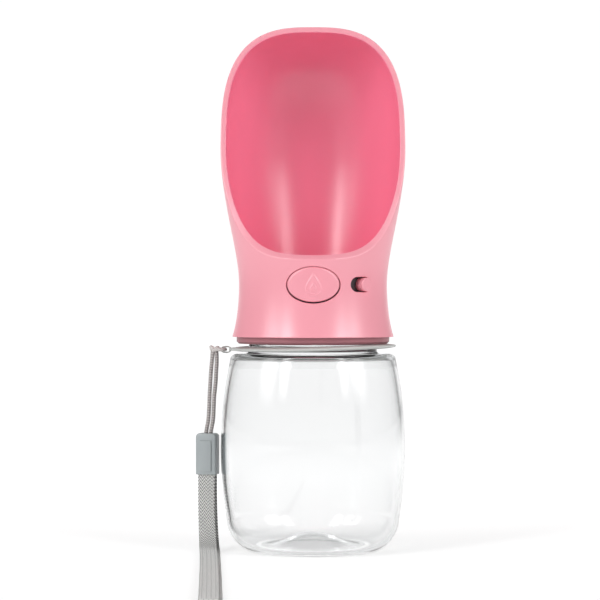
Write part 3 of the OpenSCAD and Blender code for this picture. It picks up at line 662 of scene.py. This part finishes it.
def shell_mesh():
    """The head in one closed mesh: outer skin, rim, inner skin and the bay under the scoop's floor."""
    d_o, d_i = into_shell(outer_skin, rim_o), into_shell(inner_skin, rim_i)
    rows_o, base_o = skin_rows(outer_skin, rim_o, d_o, 0.35)
    rows_i, base_i = skin_rows(inner_skin, rim_i, d_i, 0.0)
    band = rim_i - rim_o
    width = np.linalg.norm(band, axis=1)[:, None]
    band /= width
    face_o, face_i = rim_o + band * RIM_ROUND, rim_i - band * RIM_ROUND

    def rounding(a, corner, b):
        return [(1 - t) ** 2 * a + 2 * t * (1 - t) * corner + t * t * b for t in (0.2, 0.4, 0.6, 0.8)]

    rim_rows = rounding(rows_o[0], rim_o, face_o) + [face_o, rim_o + band * (RIM_ROUND + 0.25)]
    rim_rows += [rim_o + band * width / 2, rim_i - band * (RIM_ROUND + 0.25), face_i]
    rim_rows += rounding(face_i, rim_i, rows_i[0])

    def ring(r, z, base=base_o):
        return np.column_stack([r * np.cos(base), r * np.sin(base), np.full(COLUMNS, z)])

    under = FLOOR_Z - FLOOR_T
    bay = [ring(SKIRT_R - 0.1, SHELL_Z + 0.1), ring(SKIRT_R - 0.35, SHELL_Z),
           ring(SKIRT_R - HEAD_WALL + 0.1, SHELL_Z), ring(SKIRT_R - HEAD_WALL - 0.05, SHELL_Z + 0.3)]
    bay += [ring(head_r(z) - HEAD_WALL, z) for z in np.linspace(SHELL_Z + 1.2, under - 0.8, 28)]
    bay += [ring(head_r(under) - HEAD_WALL - 0.15, under), ring(head_r(under) - HEAD_WALL - 1, under)]
    bay += [ring(r, under) for r in np.linspace(24, 6, 8)]
    bay += [ring(OUTLET_R + 0.3, under), ring(OUTLET_R, under)]
    bay += [ring(OUTLET_R, under + 0.3, base_i), ring(OUTLET_R, FLOOR_Z - 0.3, base_i)]
    rows = rows_o[::-1] + rim_rows + rows_i + bay[::-1]
    return closed_mesh("scoop_head", np.vstack(rows), grid_faces(len(rows), COLUMNS, wrap_rows=True))


head_piece = add_object("scoop_head", shell_mesh())

BUTTON_W, BUTTON_H, BUTTON_PROUD, BUTTON_DEPTH = 21.2, 14.3, 0.5, 7.2
GAP, SLOT_W, SLOT_H, SLOT_ANGLE, LOCK_SWING = 0.36, 9.8, 6.1, 39.0, 7.4
WINDOW_DROP = 0.24


def flared_cutter(name, outline, place, depth=7.0, flare=0.3):
    """A cutter through the housing whose mouth opens in a small chamfer that follows the surface.

    outline gives (across, up) for a margin that it grows by; place turns those and a depth into a point.
    """
    rows = [(1.2 + flare, -1.2), (flare, 0.0), (0.0, flare), (0.0, depth)]
    rings = [[place(x, z, d) for x, z in outline(grow)] for grow, d in rows]
    m = len(rings[0])
    points = [p for ring in rings for p in ring]
    faces = grid_faces(len(rings), m)
    for base in (0, (len(rings) - 1) * m):
        centre = len(points)
        points.append(tuple(np.mean(points[base : base + m], axis=0)))
        faces += [(centre, base + j, base + (j + 1) % m) for j in range(m)]
    return closed_mesh(name, points, faces)


def oval_outline(grow):
    half_w, half_h = BUTTON_W / 2 + GAP + grow, BUTTON_H / 2 + GAP + grow
    return [(half_w * math.cos(t), half_h * math.sin(t)) for t in round_turn(120)]


def front_place(x, z, depth):
    """The window sits a little lower than the button, so that the gap is wider below."""
    r = head_r(WAIST_Z + z)
    return (x, -math.sqrt(r * r - x * x) + depth, WAIST_Z + z - WINDOW_DROP)


def slot_outline(grow):
    r, reach = SLOT_H / 2 + grow, (SLOT_W - SLOT_H) / 2
    return arc(reach, 0, r, -90, 90, 24) + arc(-reach, 0, r, 90, 270, 24)


def slot_place(x, z, depth):
    turn = math.radians(SLOT_ANGLE)
    sine, cosine = math.sin(turn), math.cos(turn)
    out = math.sqrt(head_r(WAIST_Z + z) ** 2 - x * x) - depth
    return (out * sine + x * cosine, -out * cosine + x * sine, WAIST_Z + z)


boolean(head_piece, flared_cutter("window", oval_outline, front_place), "DIFFERENCE")
boolean(head_piece, flared_cutter("slot", slot_outline, slot_place, depth=5.0, flare=0.25), "DIFFERENCE")


# Where the scoop's painted shade starts under the outer skin, and the depth over which it comes in.
PAINTED_SHADE_FROM, PAINTED_SHADE_OVER = 1.85, 0.4


def mark_inside(me):
    """Marks where the scoop's painted shade goes, by each point's depth under the outer skin: 1 in the scoop,
    0 on rim and outside.
    """
    co = np.zeros(len(me.vertices) * 3)
    me.vertices.foreach_get("co", co)
    x, y, z = co.reshape(-1, 3).T / MM
    rho, n = np.hypot(x, y), DOME_SQUARE
    across, up = rho / SCOOP_R, (z - WIDE_Z).clip(0) / DOME_H
    level = ((across**n + up**n) ** (1 / n)).clip(1e-6)
    slope = np.hypot(across ** (n - 1) / SCOOP_R, up ** (n - 1) / DOME_H) * level ** (1 - n)
    in_dome = (1 - level) / slope.clip(1e-6)
    depth = np.where(z > WIDE_Z, in_dome, np.interp(z, housing[:, 1], housing[:, 0]) - rho)
    share = ((depth - PAINTED_SHADE_FROM) / PAINTED_SHADE_OVER).clip(0, 1) * (z > FLOOR_Z - 0.2)
    me.attributes.new("painted_scoop_shade", "FLOAT", "POINT").data.foreach_set("value", share)


mark_inside(head_piece.data)


# ---- Button: a crowned oval with a rounded edge and a raised drop
def drop_distance(x, z, half_height):
    """How far points are from the outline of a drop with its tip up."""
    t = np.linspace(0, 2 * math.pi, 181)
    line_x, line_z = half_height * np.sin(t) * np.abs(np.sin(t / 2)) ** 1.5, half_height * np.cos(t)
    return np.hypot(x[:, None] - line_x, z[:, None] - line_z).min(axis=1)


BUTTON_EDGE, BUTTON_CROWN = 0.85, 0.25
MARK_H, MARK_LINE, MARK_RISE, MARK_Z = 4.3, 0.34, 0.2, -0.2
INNER_H, INNER_LINE, INNER_RISE, INNER_Z = 1.9, 0.3, 0.15, -1.6
BUTTON_RINGS = np.concatenate([np.linspace(0.03, 0.93, 62), 1 - np.linspace(0.064, 0, 8)[1:]])


def line_rise(distance, width, rise):
    """The height of a soft raised line at a distance from its middle."""
    return np.exp(-((distance / width) ** 2)) * rise


def button_mesh():
    """Rings from the middle of the face over its edge and down the side to the back."""
    a = round_turn(168)
    face_r = WAIST_R + BUTTON_PROUD
    edge = BUTTON_EDGE
    rows = []
    for q in BUTTON_RINGS:
        x, z = BUTTON_W / 2 * q * np.cos(a), BUTTON_H / 2 * q * np.sin(a)
        y = -np.sqrt(face_r**2 - x * x)
        from_edge = (1 - q) * BUTTON_H / 2
        fall = edge - math.sqrt(max(edge**2 - max(edge - from_edge, 0) ** 2, 0)) if from_edge < edge else 0
        crown = BUTTON_CROWN * (1 - q * q)
        mark = line_rise(drop_distance(x, z - MARK_Z, MARK_H), MARK_LINE, MARK_RISE)
        inner_mark = line_rise(drop_distance(x, z - INNER_Z, INNER_H), INNER_LINE, INNER_RISE)
        rows.append(np.column_stack([x, y + fall - crown * 0.6 - mark - inner_mark, WAIST_Z + z]))
    x, z = BUTTON_W / 2 * np.cos(a), BUTTON_H / 2 * np.sin(a)
    back_y = -face_r + BUTTON_DEPTH
    y = -np.sqrt(face_r**2 - x * x) + edge
    for k in (1, 2, 3):
        rows.append(np.column_stack([x, y + (back_y - y) * k / 4, WAIST_Z + z]))
    rows.append(np.column_stack([x, np.full_like(x, back_y), WAIST_Z + z]))
    rows.append(np.column_stack([x * 0.85, np.full_like(x, back_y), WAIST_Z + z * 0.85]))
    size = len(rows), len(a)
    points = np.vstack(rows + [[[0, -face_r - 0.15, WAIST_Z], [0, back_y, WAIST_Z]]])
    me = closed_mesh("press_button", points, grid_faces(*size) + pole_faces(*size))
    me.set_sharp_from_angle(angle=math.radians(50))
    return me


button_piece = add_object("press_button", button_mesh())

# ---- Lock slide's knob: a round stud with a rounded top
KNOB_ANGLE = SLOT_ANGLE + LOCK_SWING / 2
KNOB_R, KNOB_PROUD, KNOB_ROUND = 2.7, 1.5, 0.3


def out_matrix(angle, r, z):
    """Places +Z so that it points out of the housing at an angle from the front."""
    turn = math.radians(angle)
    out = Vector((math.sin(turn), -math.cos(turn), 0))
    across = Vector((math.cos(turn), math.sin(turn), 0))
    m = Matrix.Identity(4)
    m.col[0][:3], m.col[1][:3], m.col[2][:3] = across, out.cross(across), out
    m.translation = out * r + Vector((0, 0, z))
    return m


knob_low = WAIST_R - HEAD_WALL - 0.2
knob_h = WAIST_R + KNOB_PROUD - knob_low
knob_profile = [(0, 0), (KNOB_R - 0.1, 0), (KNOB_R, 0.1), (KNOB_R, knob_h - KNOB_ROUND)]
knob_profile += arc(KNOB_R - KNOB_ROUND, knob_h - KNOB_ROUND, KNOB_ROUND, 10, 90, 5)
knob_profile += [(KNOB_R * 0.5, knob_h - 0.05), (KNOB_R * 0.25, knob_h - 0.09), (0, knob_h - 0.1)]
knob_piece = add_object("lock_knob_stud", revolve(
    "lock_knob_stud", knob_profile, 72, sharp=50, place=out_matrix(KNOB_ANGLE, knob_low, WAIST_Z)))

# ---- Ring round the neck: a soft tapering washer that waves a little, and its eyelet
RING_IN, RING_OUT, RING_T, RING_TILT = 27.1, 34.6, 1.9, 1.2
RING_Z = TUBE_Z - 0.5 - RING_T


def tilted(points):
    """Leans the ring about Y as it lies on the neck."""
    turn = math.radians(RING_TILT)
    x, z = points[:, 0].copy(), points[:, 2] - RING_Z
    points[:, 0] = x * math.cos(turn) - z * math.sin(turn)
    points[:, 2] = RING_Z + x * math.sin(turn) + z * math.cos(turn)
    return points


RING_MID = RING_Z + RING_T / 2
RING_THIN_FROM, RING_THIN_OVER, RING_THIN = 30.5, 3.7, 0.42


def washer_mesh():
    """Flat near the neck, thinner towards its rounded edge, which waves up and down."""
    half_t = RING_T / 2

    def face(r):
        return half_t - RING_THIN * ((r - RING_THIN_FROM) / RING_THIN_OVER).clip(0) ** 1.3

    radii = np.linspace(28.5, 34.1, 9)
    section = [(RING_IN, -half_t + 0.25), (RING_IN + 0.25, -half_t)] + [(r, -face(r)) for r in radii]
    section += [(RING_OUT - 0.18, -0.36), (RING_OUT, 0), (RING_OUT - 0.18, 0.36)]
    section += [(r, face(r)) for r in radii[::-1]] + [(RING_IN + 0.25, half_t), (RING_IN, half_t - 0.25)]
    section = np.array(section)
    a = round_turn(180)
    wave = 0.16 * np.cos(2 * a + 0.6) + 0.1 * np.cos(3 * a + 2.1)
    lift = ((section[:, 0] - RING_IN) / (RING_OUT - RING_IN)).clip(0, 1)
    r = section[:, 0][:, None] + 0 * a[None]
    z = RING_MID + section[:, 1][:, None] + lift[:, None] * wave[None]
    points = np.stack([r * np.cos(a)[None], r * np.sin(a)[None], z], axis=2)
    faces = grid_faces(len(section), len(a), wrap_rows=True)
    return closed_mesh("ring", tilted(points.reshape(-1, 3)), faces)


EYE_X, EYE_HALF_W, EYE_HALF_H, EYE_HALF_D, EYE_WALL = -36.2, 1.92, 1.22, 0.88, 0.28


def rounded(t, half_w, half_h, power):
    """Points on a rectangle with round corners; a smaller power is squarer."""
    x, y = np.cos(t), np.sin(t)
    return half_w * np.sign(x) * np.abs(x) ** power, half_h * np.sign(y) * np.abs(y) ** power


def eyelet_mesh():
    """An upright loop, beyond the washer's edge, that the cord passes through."""
    loop_x, loop_z = rounded(np.linspace(0, 2 * math.pi, 64, endpoint=False), EYE_HALF_W, EYE_HALF_H, 2 / 2.6)
    loop = np.column_stack([EYE_X + loop_x, np.zeros_like(loop_x), RING_MID + loop_z])
    c = round_turn(12)
    ring = np.column_stack([rounded(c, EYE_HALF_D, 1, 0.6)[0], EYE_WALL * np.sin(c)])
    centre = np.array([EYE_X, 0, RING_MID])
    points = []
    for p in loop:
        outward = (p - centre) / np.linalg.norm(p - centre)
        points.append(p + ring[:, :1] * np.array([0, 1.0, 0]) + ring[:, 1:] * outward)
    return closed_mesh("eye", tilted(np.vstack(points)), grid_faces(len(loop), len(c), wrap_rows=True))


WEB_FROM, WEB_TO, WEB_ROWS, WEB_SIDES = -32.5, -34.9, 10, 16
WEB_HALF_W, WEB_LESS_W, WEB_HALF_H, WEB_LESS_H = 4.2, 3.2, 0.72, 0.2


def web_mesh():
    """A short web from the washer to the eyelet, which narrows as it leaves."""
    c = round_turn(WEB_SIDES)
    last = WEB_ROWS - 1
    rows = []
    for k, x in enumerate(np.linspace(WEB_FROM, WEB_TO, WEB_ROWS)):
        half_w = WEB_HALF_W - WEB_LESS_W * (k / last) ** 0.7
        z = RING_MID + (WEB_HALF_H - WEB_LESS_H * k / last) * np.sin(c)
        rows.append(np.column_stack([np.full(WEB_SIDES, x), half_w * np.cos(c), z]))
    ends = [tuple(range(WEB_SIDES)), tuple(range(last * WEB_SIDES, WEB_ROWS * WEB_SIDES))]
    return closed_mesh("web", tilted(np.vstack(rows)), grid_faces(WEB_ROWS, WEB_SIDES) + ends)


ring_piece = add_object("rubber_ring", joined("rubber_ring", [washer_mesh(), eyelet_mesh(), web_mesh()]))
ring_piece.data.set_sharp_from_angle(angle=math.radians(55))


# ---- Materials
# The second pink is painted shade: the scoop is the same plastic as the outside, painted deeper and darker
# for the shade in its hollow.
PINK, SCOOP_PAINTED_SHADE_PINK = (0.91, 0.35, 0.42), (0.90, 0.225, 0.345)
PINK_ROUGH, PINK_SPECULAR = 0.3, 0.85


class Nodes:
    """Short ways to add nodes to a tree."""

    def __init__(self, tree):
        self.tree = tree

    def node(self, kind, **settings):
        made = self.tree.nodes.new(kind)
        for key, value in settings.items():
            setattr(made, key, value)
        return made

    def link(self, source, target):
        self.tree.links.new(source, target)

    def split(self, source):
        made = self.node("ShaderNodeSeparateXYZ")
        self.link(source, made.inputs[0])
        return made.outputs

    def math(self, operation, a, b=None):
        made = self.node("ShaderNodeMath", operation=operation)
        for socket, value in zip(made.inputs, (a, b)):
            if isinstance(value, (int, float)):
                socket.default_value = value
            elif value is not None:
                self.link(value, socket)
        return made.outputs[0]

    def ramp(self, factor, low, high, low_at=0.3, high_at=0.7, curve="LINEAR"):
        """Maps a factor from low_at..high_at to low..high."""
        made = self.node("ShaderNodeMapRange", interpolation_type=curve)
        for key, value in (("From Min", low_at), ("From Max", high_at), ("To Min", low), ("To Max", high)):
            made.inputs[key].default_value = value
        self.link(factor, made.inputs["Value"])
        return made.outputs["Result"]

    def mix(self, factor, first, second):
        made = self.node("ShaderNodeMix", data_type="RGBA")
        self.link(factor, made.inputs["Factor"])
        for socket, value in ((made.inputs[6], first), (made.inputs[7], second)):
            if isinstance(value, tuple):
                socket.default_value = (*value, 1)
            else:
                self.link(value, socket)
        return made.outputs[2]


class Shader(Nodes):
    """A new material and its nodes."""

    def __init__(self, name):
        self.material = bpy.data.materials.new(name)
        self.material.use_nodes = True
        super().__init__(self.material.node_tree)
        self.bsdf = self.tree.nodes["Principled BSDF"]
        self.output = self.tree.nodes["Material Output"]
        self.coords = self.node("ShaderNodeTexCoord")

    def noise(self, scale, detail=3.0):
        made = self.node("ShaderNodeTexNoise")
        made.inputs["Scale"].default_value = scale
        made.inputs["Detail"].default_value = detail
        self.link(self.coords.outputs["Object"], made.inputs["Vector"])
        return made.outputs["Fac"]

    def braid(self):
        """The length along a braid, and the place across or round it."""
        return self.split(self.node("ShaderNodeUVMap", uv_map="braid").outputs["UV"])[:2]

    def bump(self, height, strength, distance=0.0002):
        made = self.node("ShaderNodeBump")
        made.inputs["Strength"].default_value = strength
        made.inputs["Distance"].default_value = distance
        self.link(height, made.inputs["Height"])
        self.link(made.outputs["Normal"], self.bsdf.inputs["Normal"])

    def set(self, **values):
        for key, value in values.items():
            socket = self.bsdf.inputs[key.replace("_", " ")]
            socket.default_value = (*value, 1) if isinstance(value, tuple) else value


def moulded(name, colour, rough, grain=0.03, specular=0.5):
    """Moulded plastic: a fine grain, a faint unevenness in its shade, and a gloss that varies softly."""
    s = Shader(name)
    shade = s.ramp(s.noise(60.0), 0.0, 1.0)
    darker = tuple(c * 0.99 for c in colour)
    s.link(s.mix(shade, darker, colour), s.bsdf.inputs["Base Color"])
    s.link(s.ramp(s.noise(140.0, 2.0), rough - 0.015, rough + 0.02), s.bsdf.inputs["Roughness"])
    s.bump(s.noise(2600.0, 2.0), grain, 0.00005)
    s.bsdf.inputs["Specular IOR Level"].default_value = specular
    return s.material


def pink_with_painted_scoop_shade(name, outside, painted_scoop_shade):
    """The head's moulded plastic with painted shade in the scoop, a deeper and darker pink there; the mesh
    says where that is.
    """
    material = moulded(name, outside, PINK_ROUGH, specular=PINK_SPECULAR)
    s = Nodes(material.node_tree)
    colour = s.tree.nodes["Principled BSDF"].inputs["Base Color"]
    share = s.node("ShaderNodeAttribute", attribute_name="painted_scoop_shade")
    s.link(s.mix(share.outputs["Fac"], colour.links[0].from_socket, painted_scoop_shade), colour)
    return material


def clear_plastic():
    """Clear, and greyer where the light goes through more of it."""
    s = Shader("clear_plastic_finish")
    s.set(Base_Color=(1.0, 1.0, 1.0), Transmission_Weight=1.0, IOR=1.5)
    s.link(s.ramp(s.noise(90.0), 0.0, 0.03), s.bsdf.inputs["Roughness"])
    absorb = s.node("ShaderNodeVolumeAbsorption")
    absorb.inputs["Color"].default_value = (0.73, 0.755, 0.765, 1)
    absorb.inputs["Density"].default_value = 80.0
    s.link(absorb.outputs["Volume"], s.output.inputs["Volume"])
    return s.material


def metal(name, colour, rough):
    s = Shader(name)
    s.set(Metallic=1.0)
    s.link(s.mix(s.noise(500.0), tuple(c * 0.9 for c in colour), colour), s.bsdf.inputs["Base Color"])
    s.link(s.ramp(s.noise(900.0), rough - 0.05, rough + 0.08), s.bsdf.inputs["Roughness"])
    return s.material


def cord_finish(name, light, dark):
    """A fine round braid, by the length along and the angle round, darker where the strands dip: painted
    shade in the braid's grooves.
    """
    s = Shader(name)
    length, turn = s.braid()
    lay = s.math("MULTIPLY", length, 2 * math.pi / CORD_LAY)
    turn = s.math("MULTIPLY", turn, 4.0)
    one = s.math("COSINE", s.math("ADD", turn, lay))
    two = s.math("COSINE", s.math("SUBTRACT", turn, lay))
    height = s.math("MULTIPLY", one, two)
    # The dark tone in the dips between strands is painted shade.
    s.link(s.mix(s.ramp(height, 0.0, 1.0, -0.7, 0.5), dark, light), s.bsdf.inputs["Base Color"])
    s.set(Roughness=0.7, Sheen_Weight=0.25)
    s.bump(s.noise(5000.0), 0.25, 0.0001)
    return s.material


def strap_finish(name, light, dark):
    """The herringbone of the flat braid: the same strands as in its mesh, darker between them."""
    s = Shader(name)
    length, across = s.braid()
    col = s.math("MULTIPLY", across, float(BRAID_COLS))
    t = s.math("FRACT", col)
    odd = s.math("MODULO", s.math("FLOOR", col), 2.0)
    flip = s.math("SUBTRACT", 1.0, t)
    lean = s.math("ADD", s.math("MULTIPLY", odd, flip),
                  s.math("MULTIPLY", s.math("SUBTRACT", 1.0, odd), t))
    saw = s.math("FRACT", s.math("ADD", s.math("DIVIDE", length, BRAID_PITCH),
                                 s.math("MULTIPLY", lean, BRAID_LEAN)))
    away = s.math("ABSOLUTE", s.math("SUBTRACT", saw, 0.5))
    on_strand = s.ramp(away, 1.0, 0.0, 0.24, 0.38)
    fibre = s.ramp(s.noise(3000.0, 4.0), 0.8, 1.0)
    tone = s.math("MULTIPLY", on_strand, fibre)
    s.link(s.mix(tone, dark, light), s.bsdf.inputs["Base Color"])
    s.set(Roughness=0.75, Sheen_Weight=0.2)
    s.bump(s.noise(5200.0), 0.3, 0.0001)
    return s.material


finishes = {
    "pink_plastic": moulded("pink_finish", PINK, PINK_ROUGH, specular=PINK_SPECULAR),
    # For the collar: the housing's pink darkened, painted shade for the shadow it sits in under the head.
    "deep_pink_plastic": moulded("pink_in_painted_shade_finish", (0.40, 0.165, 0.19), 0.38),
    "white_plastic": moulded("white_finish", (0.82, 0.82, 0.81), 0.4),
    # Near black; on the plate behind the lock's slot it is painted shade for the depth of the slot.
    "dark_plastic": moulded("dark_finish", (0.045, 0.04, 0.045), 0.4),
    "grey_plastic": moulded("grey_finish", (0.40, 0.435, 0.445), 0.34),
    "grey_rubber": moulded("rubber_finish", (0.53, 0.54, 0.52), 0.42, grain=0.08),
    "silicone": moulded("silicone_finish", (0.80, 0.81, 0.82), 0.36),
    "clear_plastic": clear_plastic(),
    "spring_steel": metal("steel_finish", (0.62, 0.63, 0.65), 0.34),
    "grey_cord": cord_finish("cord_finish", (0.62, 0.58, 0.565), (0.2, 0.18, 0.18)),
    "braided_strap": strap_finish("strap_finish", (0.84, 0.84, 0.82), (0.07, 0.068, 0.066)),
}
# The head's finish, with the scoop's painted shade.
head_finish_with_painted_shade = pink_with_painted_scoop_shade("head_finish_with_painted_shade", PINK, SCOOP_PAINTED_SHADE_PINK)
slots = {part["node"]: part["material_slot"] for part in frame["record"]["subparts"]}
for node, obj in nodes.items():
    obj.data.materials.clear()
    obj.data.materials.append(finishes[slots[node]])

# ---- Pieces on their bodies
dressed = [
    (bottle_piece, "bottle", "bottle"),
    (head_piece, "head_shell", "head"),
    (button_piece, "water_button", "button"),
    (knob_piece, "lock_knob", "lock"),
    (ring_piece, "neck_ring", "lanyard"),
    (cord_knot, "cord_hitch", "lanyard"),
    (clasp_case, "clasp_body", "lanyard"),
    (clasp_panel, "clasp_cover", "lanyard"),
] + [(piece, node, "lanyard") for piece, node in cord_pieces]
for piece, node, body in dressed:
    piece.data.materials.clear()
    piece.data.materials.append(finishes[slots[node]])
    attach(piece, body)
    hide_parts(node)
head_piece.data.materials[0] = head_finish_with_painted_shade

# ---- Studio: a white wall behind, dim sides and front, and two soft lights on each side in front
FLOOR_SHADE, FLOOR_SIZE = 0.55, 20000
GLOW_FRONT, GLOW_NEAR, GLOW_FAR, GLOW_ASIDE = 0.42, 0.82, 0.92, 0.4
WALL_BACK, WALL_SIDE, WALL_FRONT = 1.02, 0.26, 0.2


def floor_finish():
    """Matt, with a glow that grows towards the wall and fades on both sides of a wedge."""
    s = Shader("floor_finish")
    s.set(Base_Color=(FLOOR_SHADE,) * 3, Roughness=0.7, Specular_IOR_Level=0.0,
          Emission_Color=(1.0, 1.0, 1.0))
    across, ahead = s.split(s.coords.outputs["Object"])[:2]
    glow = s.math("ADD", s.ramp(ahead, 0.0, GLOW_FRONT, -1.0, -0.5),
                  s.ramp(ahead, 0.0, GLOW_NEAR - GLOW_FRONT, -0.5, 0.4))
    glow = s.math("ADD", glow, s.ramp(ahead, 0.0, GLOW_FAR - GLOW_NEAR, 0.4, 3.0))
    from_front = s.math("MAXIMUM", s.math("ADD", ahead, 2.0), 0.2)
    aside = s.math("DIVIDE", s.math("ABSOLUTE", across), from_front)
    wedge = s.ramp(aside, 1.0, GLOW_ASIDE, 0.16, 0.4)
    s.link(s.math("MULTIPLY", glow, wedge), s.bsdf.inputs["Emission Strength"])
    return s.material


floor = add_object("studio_floor", make_mesh("studio_floor", [
    (-FLOOR_SIZE, -FLOOR_SIZE, 0), (FLOOR_SIZE, -FLOOR_SIZE, 0), (FLOOR_SIZE, FLOOR_SIZE, 0),
    (-FLOOR_SIZE, FLOOR_SIZE, 0)], [(0, 1, 2, 3)]))
floor.data.materials.append(floor_finish())


def surround():
    """A world that is white only in a patch behind the bottle."""
    world = bpy.data.worlds.new("studio")
    world.use_nodes = True
    s = Nodes(world.node_tree)
    ahead = s.split(s.node("ShaderNodeTexCoord").outputs["Generated"])[1]
    front_to_side = s.ramp(ahead, WALL_FRONT, WALL_SIDE, -0.7, 0.1, "SMOOTHSTEP")
    side_to_back = s.ramp(ahead, 0.0, WALL_BACK - WALL_SIDE, 0.8, 0.93, "SMOOTHSTEP")
    background = s.tree.nodes["Background"]
    s.link(s.math("ADD", front_to_side, side_to_back), background.inputs["Strength"])
    background.inputs["Color"].default_value = (1, 1, 1, 1)
    return world


scene.world = surround()
LIGHT_AIM, LIGHT_DISTANCE, LIGHT_EDGE = Vector((0, 0, 0.13)), 1.6, 0.4


def softbox(name, azimuth, elevation, width, height, power):
    """An area light that fades towards its edges; the azimuth is from the front towards +X."""
    data = bpy.data.lights.new(name, "AREA")
    data.shape = "RECTANGLE"
    data.size, data.size_y, data.energy = width, height, power
    data.use_nodes = True
    s = Nodes(data.node_tree)
    fades = [s.math("MULTIPLY", s.ramp(place, 0.0, 1.0, 0.0, LIGHT_EDGE, "SMOOTHSTEP"),
                    s.ramp(place, 1.0, 0.0, 1.0 - LIGHT_EDGE, 1.0, "SMOOTHSTEP"))
             for place in s.split(s.node("ShaderNodeNewGeometry").outputs["Parametric"])[:2]]
    s.link(s.math("MULTIPLY", *fades), s.tree.nodes["Emission"].inputs["Strength"])
    ob = bpy.data.objects.new(name, data)
    a, e = math.radians(azimuth), math.radians(elevation)
    outward = Vector((math.sin(a) * math.cos(e), -math.cos(a) * math.cos(e), math.sin(e)))
    ob.location = LIGHT_AIM + LIGHT_DISTANCE * outward
    ob.rotation_euler = (-outward).to_track_quat("-Z", "Y").to_euler()
    ob.visible_camera = False
    scene.collection.objects.link(ob)


softbox("strip_right", 43, 30, 0.46, 1.4, 19.0)
softbox("strip_left", -40, 30, 0.46, 1.4, 24.0)
softbox("fill_right", 64, 24, 0.9, 1.2, 16.0)
softbox("fill_left", -64, 24, 0.9, 1.2, 17.0)

scene.view_settings.view_transform = "Standard"
